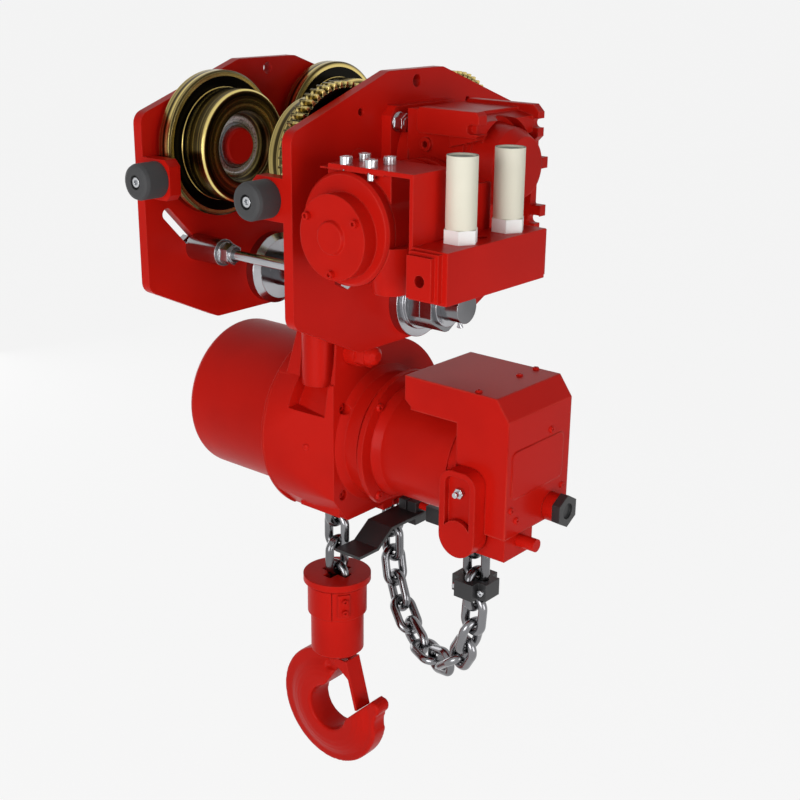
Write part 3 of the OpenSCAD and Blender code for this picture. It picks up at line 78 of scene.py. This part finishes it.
# The wheels' flanges get a painted dark reflection, near black, on their outer faces, beyond this X and
# between two radii.
FLANGE_X = 0.080
FLANGE_FACE = (0.0655, 0.0775)
DARK_REFLECTION_BLACK = (0.008, 0.007, 0.005)
# Height of the top of the mufflers' white base, and a height just under their darker top faces.
MUFFLER_BASE_TOP = 0.0249
MUFFLER_CAP = 0.080
BASE_WHITE = (0.90, 0.90, 0.88)
# A face is one of these top faces where its normal points up by more than this.
CAP_FACING = 0.9

# Noise lies about one half. Each share starts at the first number and grows by the second.
MOTTLE = (0.42, 3.0)
# This share breaks the painted highlight on edges into patches.
EDGE_HIGHLIGHT_PATCHES = (0.35, 4.0)
# Turned bands; a painted dark reflection shows between them.
BANDS = (0.44, 5.0)
# How fast the painted highlight shows on an edge as its rounded normal turns away from the flat one.
EDGE_GAIN = 9.0
# Features to the metre of brushed marks along each axis, and of the rings left by turning.
BRUSH_SCALE = (40.0, 900.0, 900.0)
RING_SCALE = 160.0
# Octaves of the noise in the mottling and in brushed and turned marks.
RICH_DETAIL = 3.0
# The base roughness is lowered first, and the marks and the mottling bring it back up.
ROUGHNESS_DROP = 0.04
MARKS_ROUGHNESS = 0.08
MOTTLE_ROUGHNESS = 0.04
BUMP_STRENGTH = 0.6
COAT_ROUGHNESS = 0.12
BEVEL_SAMPLES = 4

# Edges that turn by more than this stay sharp on new pieces, and corners closer than this are one.
SHARP_ANGLE = math.radians(35)
WELD = 1e-6


class Pattern(Enum):
    """How a finish varies over a surface."""

    PLAIN = "plain"
    BRUSHED = "brushed"
    TURNED = "turned"
    CAPPED = "capped"


class Wire:
    """A node's output socket, with the arithmetic that adds Math nodes."""

    def __init__(self, sheet: "Sheet", socket: bpy.types.NodeSocket) -> None:
        """Keeps the socket and the sheet that it is on."""
        self.sheet = sheet
        self.socket = socket

    def _maths(self, operation: str, first: Any, second: Any = None, clamp: bool = False) -> "Wire":
        """Adds one Math node.

        Args:
            operation: the Math node's operation.
            first: its first value, a Wire or a number.
            second: its second value, where it has one.
            clamp: whether the result is held between 0 and 1.

        Returns:
            The node's result.
        """
        values = {0: first} if second is None else {0: first, 1: second}
        return self.sheet.add("ShaderNodeMath", {"operation": operation, "use_clamp": clamp}, values)

    def __add__(self, other: Any) -> "Wire":
        """Sum."""
        return self._maths("ADD", self, other)

    def __radd__(self, other: Any) -> "Wire":
        """Sum with a number on the left."""
        return self._maths("ADD", other, self)

    def __sub__(self, other: Any) -> "Wire":
        """Difference."""
        return self._maths("SUBTRACT", self, other)

    def __rsub__(self, other: Any) -> "Wire":
        """Difference from a number on the left."""
        return self._maths("SUBTRACT", other, self)

    def __mul__(self, other: Any) -> "Wire":
        """Product."""
        return self._maths("MULTIPLY", self, other)

    def __rmul__(self, other: Any) -> "Wire":
        """Product with a number on the left."""
        return self._maths("MULTIPLY", other, self)

    def __gt__(self, other: Any) -> "Wire":
        """1 where this is the greater, otherwise 0."""
        return self._maths("GREATER_THAN", self, other)

    def root(self) -> "Wire":
        """Square root of this."""
        return self._maths("POWER", self, 0.5)

    def size(self) -> "Wire":
        """Its distance from zero."""
        return self._maths("ABSOLUTE", self)

    def held(self) -> "Wire":
        """This held between 0 and 1."""
        return self._maths("ADD", self, 0.0, clamp=True)

    def rising(self, start: float, gain: float) -> "Wire":
        """0 up to the start, then growing by the gain, up to 1."""
        return ((self - start) * gain).held()


class Sheet:
    """The node tree of one material or world, filled node by node."""

    def __init__(self, owner: bpy.types.Material | bpy.types.World) -> None:
        """Empties the owner's node tree.

        Args:
            owner: the material or world that the nodes belong to.
        """
        owner.use_nodes = True
        self.owner = owner
        self.tree = owner.node_tree
        self.tree.nodes.clear()

    def add(
        self, kind: str, settings: dict[str, Any] | None = None,
        values: dict[int | str, Any] | None = None, output: int | str = 0,
    ) -> Wire:
        """Adds a node.

        Args:
            kind: the node's type.
            settings: attributes that are set first.
            values: a number, colour or Wire for each input, by name or place.
            output: the output that is wanted.

        Returns:
            That output.
        """
        node = self.tree.nodes.new(kind)
        for name, value in (settings or {}).items():
            setattr(node, name, value)
        for key, value in (values or {}).items():
            if isinstance(value, Wire):
                self.tree.links.new(value.socket, node.inputs[key])
            else:
                node.inputs[key].default_value = value
        return Wire(self, node.outputs[output])

    def part(self, vector: Wire, axis: str) -> Wire:
        """One of the three parts of a vector, X, Y or Z."""
        return self.add("ShaderNodeSeparateXYZ", None, {0: vector}, axis)

    def blend(self, share: Any, first: Any, second: Any) -> Wire:
        """Mixes two colours.

        Args:
            share: how much of the second, from 0 to 1.
            first: a colour or a Wire.
            second: a colour or a Wire.

        Returns:
            The mixed colour.
        """
        settings = {"data_type": "RGBA", "blend_type": "MIX"}
        return self.add("ShaderNodeMix", settings, {0: share, 6: first, 7: second}, output=2)

    def noise(self, place: Wire, scale: float, detail: float = 2.0) -> Wire:
        """Noise over a place, in features to the metre."""
        return self.add("ShaderNodeTexNoise", None, {"Vector": place, "Scale": scale, "Detail": detail})

    def backdrop_rays(self) -> Wire:
        """Tells the rays that meet the backdrop from those that light the object.

        Returns:
            1 for rays from the camera, from a reflection and through glass, otherwise 0.
        """
        straight, reflected, through = (
            self.add("ShaderNodeLightPath", None, None, ray)
            for ray in ("Is Camera Ray", "Is Glossy Ray", "Is Transmission Ray"))
        return (straight + reflected + through).held()

    def close(self, shader: Wire, kind: str = "ShaderNodeOutputMaterial") -> None:
        """Joins the shader to a new output node of that kind."""
        node = self.tree.nodes.new(kind)
        self.tree.links.new(shader.socket, node.inputs["Surface"])


@dataclass(frozen=True)
class Finish:
    """A finish of the real object and how it is drawn.

    Attributes:
        name: the material's name.
        slot: the frame's material slot that this finish goes with; not used.
        colour: the main colour.
        shade: the colour of its mottling, or between the bands of a turned surface, where it is a painted
            dark reflection.
        edge: the colour of the painted highlight on edges, or of a muffler's top.
        metallic: 1 for bare metal.
        roughness: its middle value.
        coat: strength of the clear coat.
        specular: strength of the gloss under the coat.
        mottle_scale: broad features to the metre.
        grain_scale: fine features to the metre.
        grain_depth: height of the fine features.
        rounding: radius that sharp edges are shaded with.
        edge_share: how much of the painted edge highlight shows where it is strongest.
        pattern: how the finish varies.
    """

    name: str
    slot: str
    colour: Triple
    shade: Triple
    edge: Triple
    metallic: float = 0.0
    roughness: float = 0.3
    coat: float = 0.0
    specular: float = 0.5
    mottle_scale: float = 9.0
    grain_scale: float = 700.0
    grain_depth: float = 0.00003
    rounding: float = 0.0012
    edge_share: float = 0.5
    pattern: Pattern = Pattern.PLAIN

    @staticmethod
    def _wheel_radius(sheet: Sheet, place: Wire) -> Wire:
        """Distance from the axis of the nearest wheel.

        Args:
            sheet: the material being made.
            place: the point on the surface.

        Returns:
            The distance in metres.
        """
        along = sheet.part(place, "Y").size() - WHEEL_Y
        up = sheet.part(place, "Z") - WHEEL_Z
        return (along * along + up * up).root()

    def _marks(self, sheet: Sheet, place: Wire) -> Wire:
        """The fine marks left by making.

        Args:
            sheet: the material being made.
            place: the point on the surface.

        Returns:
            A value about 0.5 that varies across the marks.
        """
        if self.pattern is Pattern.BRUSHED:
            settings = {"vector_type": "POINT"}
            stretched = sheet.add("ShaderNodeMapping", settings, {"Vector": place, "Scale": BRUSH_SCALE})
            return sheet.noise(stretched, 1.0, RICH_DETAIL)
        if self.pattern is Pattern.TURNED:
            radius = self._wheel_radius(sheet, place)
            across = sheet.part(place, "X")
            rings = sheet.add("ShaderNodeCombineXYZ", None, {0: radius * RING_SCALE, 1: across * RING_SCALE})
            return sheet.noise(rings, 1.0, RICH_DETAIL)
        return sheet.noise(place, self.grain_scale)

    def _turned_colour(self, sheet: Sheet, place: Wire, marks: Wire) -> Wire:
        """Colour of a turned wheel: bands round its axis with a painted dark reflection between them, and a
        painted dark reflection on the flange's outer face.

        Args:
            sheet: the material being made.
            place: the point on the surface.
            marks: the rings left by turning.

        Returns:
            The colour before the painted edge highlight.
        """
        # The turned rings are real; the near-black shade between them is a painted dark reflection.
        colour = sheet.blend(marks.rising(*BANDS), (*self.shade, 1.0), (*self.colour, 1.0))
        # The flange's outer face is painted near black, a painted dark reflection.
        inner, outer = FLANGE_FACE
        radius = self._wheel_radius(sheet, place)
        outside = sheet.part(place, "X").size() > FLANGE_X
        flange = (radius > inner) * (1.0 - (radius > outer)) * outside
        return sheet.blend(flange, colour, (*DARK_REFLECTION_BLACK, 1.0))

    def _capped_colour(self, sheet: Sheet, place: Wire, flat: Wire, colour: Wire) -> Wire:
        """Colour of a muffler: a white base, a porous body and a darker top.

        Args:
            sheet: the material being made.
            place: the point on the surface.
            flat: the surface's own normal.
            colour: the body's colour.

        Returns:
            The colour of all three.
        """
        height = sheet.part(place, "Z")
        colour = sheet.blend(1.0 - (height > MUFFLER_BASE_TOP), colour, (*BASE_WHITE, 1.0))
        top = (sheet.part(flat, "Z") > CAP_FACING) * (height > MUFFLER_CAP)
        return sheet.blend(top, colour, (*self.edge, 1.0))

    def make(self) -> bpy.types.Material:
        """Builds the material.

        Returns:
            The finished material.
        """
        sheet = Sheet(bpy.data.materials.new(self.name))
        place = sheet.add("ShaderNodeTexCoord", None, None, "Object")
        mottle = sheet.noise(place, self.mottle_scale, RICH_DETAIL)
        marks = self._marks(sheet, place)
        soft = sheet.add("ShaderNodeBevel", {"samples": BEVEL_SAMPLES}, {"Radius": self.rounding})
        flat = sheet.add("ShaderNodeNewGeometry", None, None, "Normal")
        if self.pattern is Pattern.TURNED:
            colour = self._turned_colour(sheet, place, marks)
        else:
            colour = sheet.blend(mottle.rising(*MOTTLE), (*self.colour, 1.0), (*self.shade, 1.0))
        if self.pattern is Pattern.CAPPED:
            colour = self._capped_colour(sheet, place, flat, colour)
        else:
            # Edges get a lighter colour, a painted highlight, broken into patches by noise.
            settings = {"operation": "DOT_PRODUCT"}
            agreement = sheet.add("ShaderNodeVectorMath", settings, {0: soft, 1: flat}, "Value")
            edge_highlight = ((1.0 - agreement) * EDGE_GAIN).held() * mottle.rising(*EDGE_HIGHLIGHT_PATCHES)
            colour = sheet.blend(edge_highlight * self.edge_share, colour, (*self.edge, 1.0))
        rough = (self.roughness - ROUGHNESS_DROP) + marks * MARKS_ROUGHNESS + mottle * MOTTLE_ROUGHNESS
        bump = sheet.add(
            "ShaderNodeBump", None,
            {"Strength": BUMP_STRENGTH, "Distance": self.grain_depth, "Height": marks, "Normal": soft})
        shader = sheet.add(
            "ShaderNodeBsdfPrincipled", None,
            {"Base Color": colour, "Metallic": self.metallic, "Roughness": rough,
             "Coat Weight": self.coat, "Coat Roughness": COAT_ROUGHNESS,
             "Specular IOR Level": self.specular, "Normal": bump})
        sheet.close(shader)
        return sheet.owner


# Each finish's third colour is the painted highlight on its edges; for the mufflers it is their top's colour.
RED = Finish(
    "signal_red_gloss", "red_paint", (0.58, 0.010, 0.005), (0.50, 0.008, 0.004), (0.80, 0.06, 0.04),
    roughness=0.30, coat=0.03, specular=0.06, grain_scale=420.0, grain_depth=0.00005)
CAST_RED = Finish(
    "signal_red_on_casting", "red_paint", (0.56, 0.010, 0.005), (0.47, 0.008, 0.004), (0.80, 0.06, 0.04),
    roughness=0.34, coat=0.03, specular=0.06, grain_scale=260.0, grain_depth=0.00012, rounding=0.0022)
FOLDED_RED = Finish(
    "signal_red_on_folded_sheet", "red_paint", (0.58, 0.010, 0.005), (0.50, 0.008, 0.004), (0.85, 0.09, 0.06),
    roughness=0.28, coat=0.03, specular=0.06, grain_scale=420.0, grain_depth=0.00004, rounding=0.0035,
    edge_share=0.7)
SHIELD = Finish(
    "stamped_bearing_shield", "bright_steel", (0.85, 0.85, 0.86), (0.70, 0.70, 0.72), (0.95, 0.95, 0.95),
    metallic=0.55, roughness=0.26, grain_scale=500.0)
STEEL = Finish(
    "bright_steel_turned", "bright_steel", (0.60, 0.61, 0.63), (0.45, 0.46, 0.48), (0.85, 0.85, 0.86),
    metallic=1.0, roughness=0.24, pattern=Pattern.BRUSHED)
DARK = Finish(
    "dark_polished_steel", "dark_steel", (0.24, 0.24, 0.25), (0.08, 0.08, 0.085), (0.65, 0.65, 0.66),
    metallic=1.0, roughness=0.17, grain_scale=240.0, grain_depth=0.00005)
POLISHED = Finish(
    "polished_steel", "dark_steel", (0.46, 0.46, 0.48), (0.24, 0.24, 0.25), (0.80, 0.80, 0.82),
    metallic=1.0, roughness=0.16, pattern=Pattern.BRUSHED)
# Its near-black shade is a painted dark reflection between the turned bands.
GOLD = Finish(
    "yellow_zinc_turned", "yellow_zinc", (0.82, 0.64, 0.23), (0.045, 0.032, 0.010), (0.90, 0.74, 0.34),
    metallic=1.0, roughness=0.22, pattern=Pattern.TURNED)
BRONZE = Finish(
    "bronze_cast", "bronze", (0.50, 0.30, 0.12), (0.36, 0.20, 0.08), (0.70, 0.48, 0.24),
    metallic=1.0, roughness=0.35)
BLACK = Finish(
    "black_oxide", "black", (0.020, 0.020, 0.021), (0.012, 0.012, 0.013), (0.09, 0.09, 0.09),
    roughness=0.42, grain_scale=500.0, grain_depth=0.00006)
RUBBER = Finish(
    "dark_grey_rubber", "rubber", (0.045, 0.045, 0.047), (0.032, 0.032, 0.033), (0.09, 0.09, 0.09),
    roughness=0.66, grain_scale=380.0, grain_depth=0.00012)
IVORY = Finish(
    "ivory_sinter", "ivory", (0.82, 0.79, 0.66), (0.74, 0.71, 0.58), (0.30, 0.32, 0.27),
    roughness=0.62, grain_scale=900.0, grain_depth=0.00018, pattern=Pattern.CAPPED)
FINISHES = (RED, CAST_RED, FOLDED_RED, SHIELD, STEEL, DARK, POLISHED, GOLD, BRONZE, BLACK, RUBBER, IVORY)


def clear_selection() -> None:
    """Leaves edit mode and deselects all objects."""
    if bpy.context.object and bpy.context.object.mode != "OBJECT":
        bpy.ops.object.mode_set(mode="OBJECT")
    bpy.ops.object.select_all(action="DESELECT")


@contextmanager
def editing(piece: bpy.types.Object) -> Iterator[None]:
    """Opens one piece in edit mode with all of its mesh selected, and closes it afterwards.

    Args:
        piece: the piece, which is left active and selected.

    Yields:
        Nothing; the operators inside act on the piece.
    """
    clear_selection()
    bpy.context.view_layer.objects.active = piece
    piece.select_set(True)
    bpy.ops.object.mode_set(mode="EDIT")
    bpy.ops.mesh.select_all(action="SELECT")
    yield
    bpy.ops.object.mode_set(mode="OBJECT")


def settle(piece: bpy.types.Object) -> None:
    """Puts a piece's place into its mesh, with its normals out and its edges sharp where they are.

    Args:
        piece: the piece, active and selected, which ends at the origin.
    """
    bpy.ops.object.transform_apply(location=True, rotation=True, scale=True)
    with editing(piece):
        bpy.ops.mesh.remove_doubles(threshold=WELD)
        bpy.ops.mesh.normals_make_consistent(inside=False)
    bpy.ops.object.shade_smooth_by_angle(angle=SHARP_ANGLE)


def extend_ring(last: Corner, corner: Corner) -> None:
    """Extrudes the selected ring of edges from one corner of a profile to the next.

    Args:
        last: radius and height of the ring.
        corner: radius and height that it gets; a radius of 0 closes it in a point.
    """
    radius, height = corner
    bpy.ops.mesh.extrude_region_move(TRANSFORM_OT_translate={"value": (0, 0, height - last[1])})
    if radius > 0:
        grow = radius / last[0]
        bpy.ops.transform.resize(value=(grow, grow, 1.0), center_override=(0, 0, height))
    else:
        bpy.ops.mesh.merge(type="CENTER")


def turned(
    name: str, profile: Sequence[Corner], centre: Triple, axis: Triple, sides: int,
) -> bpy.types.Object:
    """Turns a profile about an axis, ring by ring.

    Args:
        name: the piece's name.
        profile: radius and distance along the axis of each corner, in order; the last joins the first
            where it has a radius, and a radius of 0 closes the end.
        centre: the point that distances are counted from.
        axis: the way that distances run.
        sides: how many faces go round.

    Returns:
        The piece, active and selected.
    """
    clear_selection()
    radius, height = profile[0]
    bpy.ops.mesh.primitive_circle_add(
        vertices=sides, radius=radius, fill_type="NOTHING", location=(0, 0, height))
    piece = bpy.context.object
    piece.name = name
    bpy.ops.object.transform_apply(location=True, rotation=True, scale=True)
    with editing(piece):
        last = profile[0]
        for corner in (*profile[1:], profile[0]):
            extend_ring(last, corner)
            if corner[0] == 0:
                break
            last = corner
    turn = Vector((0, 0, 1)).rotation_difference(Vector(axis).normalized())
    piece.matrix_world = Matrix.Translation(Vector(centre)) @ turn.to_matrix().to_4x4()
    settle(piece)
    return piece


def close_start(piece: bpy.types.Object) -> None:
    """Closes the open rim of a turned piece with a face.

    Args:
        piece: a piece that has one open rim.
    """
    with editing(piece):
        bpy.ops.mesh.select_all(action="DESELECT")
        bpy.ops.mesh.select_mode(type="EDGE")
        bpy.ops.mesh.select_non_manifold()
        bpy.ops.mesh.edge_face_add()
        bpy.ops.mesh.select_all(action="SELECT")
        bpy.ops.mesh.normals_make_consistent(inside=False)
        bpy.ops.mesh.select_mode(type="VERT")


@dataclass
class Assembly:
    """A group of the frame's nodes with their finishes and the pieces added to them.

    Attributes:
        materials: each finish's material, by the finish's name.
        NODE_FINISHES: the finish of each node of this assembly.
    """

    frame: dict[str, Any]
    materials: dict[str, bpy.types.Material]

    NODE_FINISHES: ClassVar[dict[str, Finish]] = {}

    def dress(self) -> None:
        """Gives each node its finish."""
        for node, finish in self.NODE_FINISHES.items():
            for slot in self.frame["nodes"][node].material_slots:
                slot.material = self.materials[finish.name]
            log.info("%s has %s", node, finish.name)

    def place(self, piece: bpy.types.Object, body: str, finish: Finish) -> None:
        """Finishes a new piece and lets it ride on a body.

        Args:
            piece: the piece.
            body: the body that it moves with.
            finish: its finish.
        """
        piece.data.materials.clear()
        piece.data.materials.append(self.materials[finish.name])
        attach(piece, body)
        log.info("%s rides on %s", piece.name, body)

    def build(self) -> None:
        """Adds the pieces that the frame doesn't hold, where there are any."""


@dataclass
class Trolley(Assembly):
    """Side plates, axles and their bearings, bumpers, and the load bar with its eye.

    Attributes:
        shield_x: distance of the bearing shields from the trolley's middle.
        shield_outer: their outer radius.
        shield_inner: their inner radius.
        shield_rise: how far their two lips stand out.
        groove_floor: how far the groove between the lips stands out.
        rim_slope: width of the slope at the outer rim.
        bore_slope: width of the slope at the bore.
        groove_mouth: half the groove's width at the top.
        groove_width: half the groove's width at its floor.
        shield_sides: how many faces go round.
    """

    shield_x: float = 0.0668
    shield_outer: float = 0.0345
    shield_inner: float = 0.0262
    shield_rise: float = 0.0007
    groove_floor: float = 0.0003
    rim_slope: float = 0.0006
    bore_slope: float = 0.0005
    groove_mouth: float = 0.002
    groove_width: float = 0.0012
    shield_sides: int = 72

    NODE_FINISHES: ClassVar[dict[str, Finish]] = {
        "drive_plate": RED, "idle_plate": RED, "bumpers": RUBBER, "trolley_screws": STEEL, "wheel_axles": RED,
        "wheel_bearings": STEEL, "load_bar": DARK, "bar_rings": POLISHED, "bar_nuts": DARK,
        "guard_rod": POLISHED, "rod_sleeve": POLISHED, "stud_nuts": POLISHED, "adapter_plate": RED,
        "suspension_eye": DARK,
    }

    def shield_profile(self) -> list[Corner]:
        """Half section of a shield: a flat lip, a pressed groove and a second lip.

        Returns:
            Radius and height of each corner, from the rim to the bore.
        """
        outer, inner, rise = self.shield_outer, self.shield_inner, self.shield_rise
        middle = (outer + inner) / 2
        return [
            (outer, 0.0), (outer - self.rim_slope, rise), (middle + self.groove_mouth, rise),
            (middle + self.groove_width, self.groove_floor), (middle - self.groove_width, self.groove_floor),
            (middle - self.groove_mouth, rise), (inner + self.bore_slope, rise), (inner, 0.0)]

    def build(self) -> None:
        """Adds the stamped shields in the mouths of the four wheel bearings."""
        wheels = {"drive_wheel_front": (1, -1), "drive_wheel_rear": (1, 1),
                  "idle_wheel_front": (-1, -1), "idle_wheel_rear": (-1, 1)}
        for wheel, (side, end) in wheels.items():
            centre = (side * self.shield_x, end * WHEEL_Y, WHEEL_Z)
            shield = turned(
                f"bearing_shield_{wheel}", self.shield_profile(), centre, (-side, 0, 0), self.shield_sides)
            self.place(shield, "trolley", SHIELD)


@dataclass
class TravelDrive(Assembly):
    """Wheels, worm gear, air motor for travel, and the manifold with its mufflers."""

    NODE_FINISHES: ClassVar[dict[str, Finish]] = {
        "gearbox_case": CAST_RED, "gearbox_cover": CAST_RED, "travel_motor_case": CAST_RED,
        "travel_motor_cover": CAST_RED, "travel_cover_screws": RED, "manifold_bracket": RED, "manifold": RED,
        "mufflers": IVORY, "drive_wheel_front": GOLD, "drive_wheel_rear": GOLD, "idle_wheel_front": GOLD,
        "idle_wheel_rear": GOLD, "output_shaft": STEEL, "worm_wheel": BRONZE, "worm_shaft": STEEL,
        "travel_rotor": STEEL,
    }


@dataclass
class HookBlock(Assembly):
    """Hook block with its shells, the hook and its latch.

    Attributes:
        hook_weld: distance under which the hook's loose corners are joined.
        hook_voxel: size of the voxels that its skin is made from.
        hook_passes: how often that skin is smoothed.
        hook_softness: how strongly each time.
    """

    hook_weld: float = 1e-5
    hook_voxel: float = 0.0019
    hook_passes: int = 10
    hook_softness: float = 0.5

    NODE_FINISHES: ClassVar[dict[str, Finish]] = {
        "hook_block": CAST_RED, "block_shells": CAST_RED, "block_fasteners": RED, "thrust_bearing": STEEL,
        "hook": CAST_RED, "latch": RED, "latch_pin": RED,
    }

    def build(self) -> None:
        """Replaces the hook with a smooth forging of the same shape."""
        hook = bpy.data.objects.new("hook_forging", self.frame["nodes"]["hook"].data.copy())
        bpy.context.scene.collection.objects.link(hook)
        with editing(hook):
            bpy.ops.mesh.remove_doubles(threshold=self.hook_weld)
        skin = hook.modifiers.new("skin", "REMESH")
        skin.mode = "VOXEL"
        skin.voxel_size = self.hook_voxel
        soft = hook.modifiers.new("soft", "SMOOTH")
        soft.factor = self.hook_softness
        soft.iterations = self.hook_passes
        for name in ("skin", "soft"):
            bpy.ops.object.modifier_apply(modifier=name)
        bpy.ops.object.shade_smooth()
        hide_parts("hook")
        self.place(hook, "hook", CAST_RED)


@dataclass
class Hoist(Assembly):
    """Chain wheel housing, gear case, air motor, control box and the chain.

    Attributes:
        plug_at: place of the small plug on the housing's front.
        plug_out: the way that it faces.
        plug_radius: its radius.
        plug_root: how deep it starts inside the housing.
        plug_dome: height and share of the radius of each ring of its dome, from the rim to the pole.
        plug_sides: how many faces go round.
    """

    plug_at: Triple = (-0.0089, -0.0471, -0.3106)
    plug_out: Triple = (0.32, -0.95, 0.0)
    plug_radius: float = 0.0042
    plug_root: float = 0.002
    plug_dome: tuple[Corner, ...] = ((0.0006, 1.0), (0.0013, 0.86), (0.0018, 0.5), (0.002, 0.0))
    plug_sides: int = 40

    NODE_FINISHES: ClassVar[dict[str, Finish]] = {
        "suspension_pin": RED, "chain_housing": CAST_RED, "housing_screws": RED, "gear_case": CAST_RED,
        "motor_flange": CAST_RED, "motor_case": CAST_RED, "control_box": CAST_RED, "box_cover": FOLDED_RED,
        "breather": STEEL, "end_plug": BLACK, "anchor_pin": RED, "slack_chain": DARK, "chain_stop": BLACK,
        "stop_bolts": STEEL, "shaft_bearings": STEEL, "load_wheel": STEEL, "planet_gear_1": STEEL,
        "planet_gear_2": STEEL, "planet_gear_3": STEEL, "hoist_rotor": STEEL, "limit_rod": RED,
        "limit_lever": BLACK, "load_chain": DARK,
    }

    def build(self) -> None:
        """Adds the small domed plug on the housing's front."""
        root = (self.plug_radius, -self.plug_root)
        dome = [(share * self.plug_radius, height) for height, share in self.plug_dome]
        plug = turned("housing_plug", [root, *dome], self.plug_at, self.plug_out, self.plug_sides)
        close_start(plug)
        self.place(plug, "hoist", RED)


def facing(azimuth: float, elevation: float) -> Vector:
    """The way from the object to a lamp or the camera.

    Args:
        azimuth: degrees from -Y towards +X.
        elevation: degrees above the horizon.

    Returns:
        A unit vector.
    """
    around, above = math.radians(azimuth), math.radians(elevation)
    level = math.cos(above)
    return Vector((math.sin(around) * level, -math.cos(around) * level, math.sin(above)))


@dataclass(frozen=True)
class Lamp:
    """A soft square lamp that points at the middle of the object.

    Attributes:
        name: its name.
        azimuth: degrees from -Y towards +X.
        elevation: degrees above the horizon.
        distance: from the middle of the object.
        width: side of the square.
        watts: its power.
    """

    name: str
    azimuth: float
    elevation: float
    distance: float
    width: float
    watts: float

    def build(self, target: Vector) -> None:
        """Adds the lamp.

        Args:
            target: the point that it is aimed at.
        """
        way = facing(self.azimuth, self.elevation)
        data = bpy.data.lights.new(self.name, "AREA")
        data.shape = "SQUARE"
        data.size = self.width
        data.energy = self.watts
        lamp = bpy.data.objects.new(self.name, data)
        bpy.context.scene.collection.objects.link(lamp)
        lamp.location = target + way * self.distance
        lamp.rotation_euler = way.to_track_quat("Z", "Y").to_euler()


@dataclass
class Studio:
    """Camera, lamps, world and floor.

    Attributes:
        camera_at: place of the camera.
        azimuth: the camera's angle round the object, in degrees from -Y towards +X.
        elevation: its angle above the horizon, in degrees.
        roll: its turn about its own axis, in degrees.
        lens: its focal length in millimetres.
        sensor: its sensor's width in millimetres.
        reach: how far it sees.
        middle: the point that the lamps are aimed at.
        floor_z: height of the floor.
        floor_half: half the floor's width.
        floor_shades: the two greys of the floor.
        floor_grain: features to the metre of those greys.
        floor_glow: how far the floor is drawn white to the camera, which keeps a soft shadow.
        ambient: the world's strength as light.
        lamps: the lamps.
    """

    camera_at: Triple = (1.0480, -1.1368, 0.2726)
    azimuth: float = 39.677
    elevation: float = 18.933
    roll: float = 0.683
    lens: float = 57.888
    sensor: float = 36.0
    reach: float = 200.0
    middle: Triple = (0.03, 0.0, -0.3)
    floor_z: float = -1.0
    floor_half: float = 120.0
    floor_shades: tuple[float, float] = (0.80, 0.84)
    floor_grain: float = 3.0
    floor_glow: float = 0.88
    ambient: float = 0.25
    lamps: tuple[Lamp, ...] = (
        Lamp("key", azimuth=14.0, elevation=8.0, distance=2.6, width=1.5, watts=37.0),
        Lamp("fill", azimuth=82.0, elevation=3.0, distance=2.8, width=1.5, watts=25.0),
        Lamp("back", azimuth=262.0, elevation=2.0, distance=2.8, width=1.6, watts=16.0),
    )

    def camera(self) -> None:
        """Sets the camera at the photograph's angle, for a square picture."""
        data = bpy.data.cameras.new("camera")
        data.sensor_fit = "HORIZONTAL"
        data.sensor_width = self.sensor
        data.lens = self.lens
        data.clip_end = self.reach
        camera = bpy.data.objects.new("camera", data)
        bpy.context.scene.collection.objects.link(camera)
        level = facing(self.azimuth, self.elevation).to_track_quat("Z", "Y")
        turn = level @ Quaternion((0, 0, 1), math.radians(self.roll))
        camera.matrix_world = Matrix.Translation(Vector(self.camera_at)) @ turn.to_matrix().to_4x4()
        bpy.context.scene.camera = camera

    def world(self) -> None:
        """Pale to the camera and in reflections, and a plain level as light."""
        sheet = Sheet(bpy.data.worlds.new("studio"))
        strength = self.ambient + sheet.backdrop_rays() * (1.0 - self.ambient)
        sheet.close(sheet.add("ShaderNodeBackground", None, {"Strength": strength}), "ShaderNodeOutputWorld")
        bpy.context.scene.world = sheet.owner

    def floor(self) -> None:
        """A plain pale floor under the hook, which keeps the object's shadow."""
        clear_selection()
        bpy.ops.mesh.primitive_plane_add(size=2 * self.floor_half, location=(0, 0, self.floor_z))
        floor = bpy.context.object
        floor.name = "floor"
        sheet = Sheet(bpy.data.materials.new("pale_floor"))
        grain = sheet.noise(sheet.add("ShaderNodeTexCoord", None, None, "Object"), self.floor_grain)
        darker, lighter = ((grey, grey, grey, 1.0) for grey in self.floor_shades)
        matt = sheet.add("ShaderNodeBsdfDiffuse", None, {"Color": sheet.blend(grain, darker, lighter)})
        glow = sheet.add("ShaderNodeEmission", None, {"Color": (1, 1, 1, 1), "Strength": 1.0})
        share = sheet.backdrop_rays() * self.floor_glow
        sheet.close(sheet.add("ShaderNodeMixShader", None, {0: share, 1: matt, 2: glow}))
        floor.data.materials.append(sheet.owner)

    def build(self) -> None:
        """Makes the whole studio."""
        bpy.context.scene.view_settings.view_transform = "Standard"
        self.camera()
        self.world()
        self.floor()
        for lamp in self.lamps:
            lamp.build(Vector(self.middle))


def main() -> None:
    """Dresses the frame, adds the small pieces and sets the studio."""
    logging.basicConfig(level=logging.INFO, format="%(message)s")
    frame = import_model()
    Studio().build()
    materials = {finish.name: finish.make() for finish in FINISHES}
    for assembly in (Trolley, TravelDrive, HookBlock, Hoist):
        part = assembly(frame, materials)
        part.dress()
        part.build()


if __name__ == "__main__":
    main()
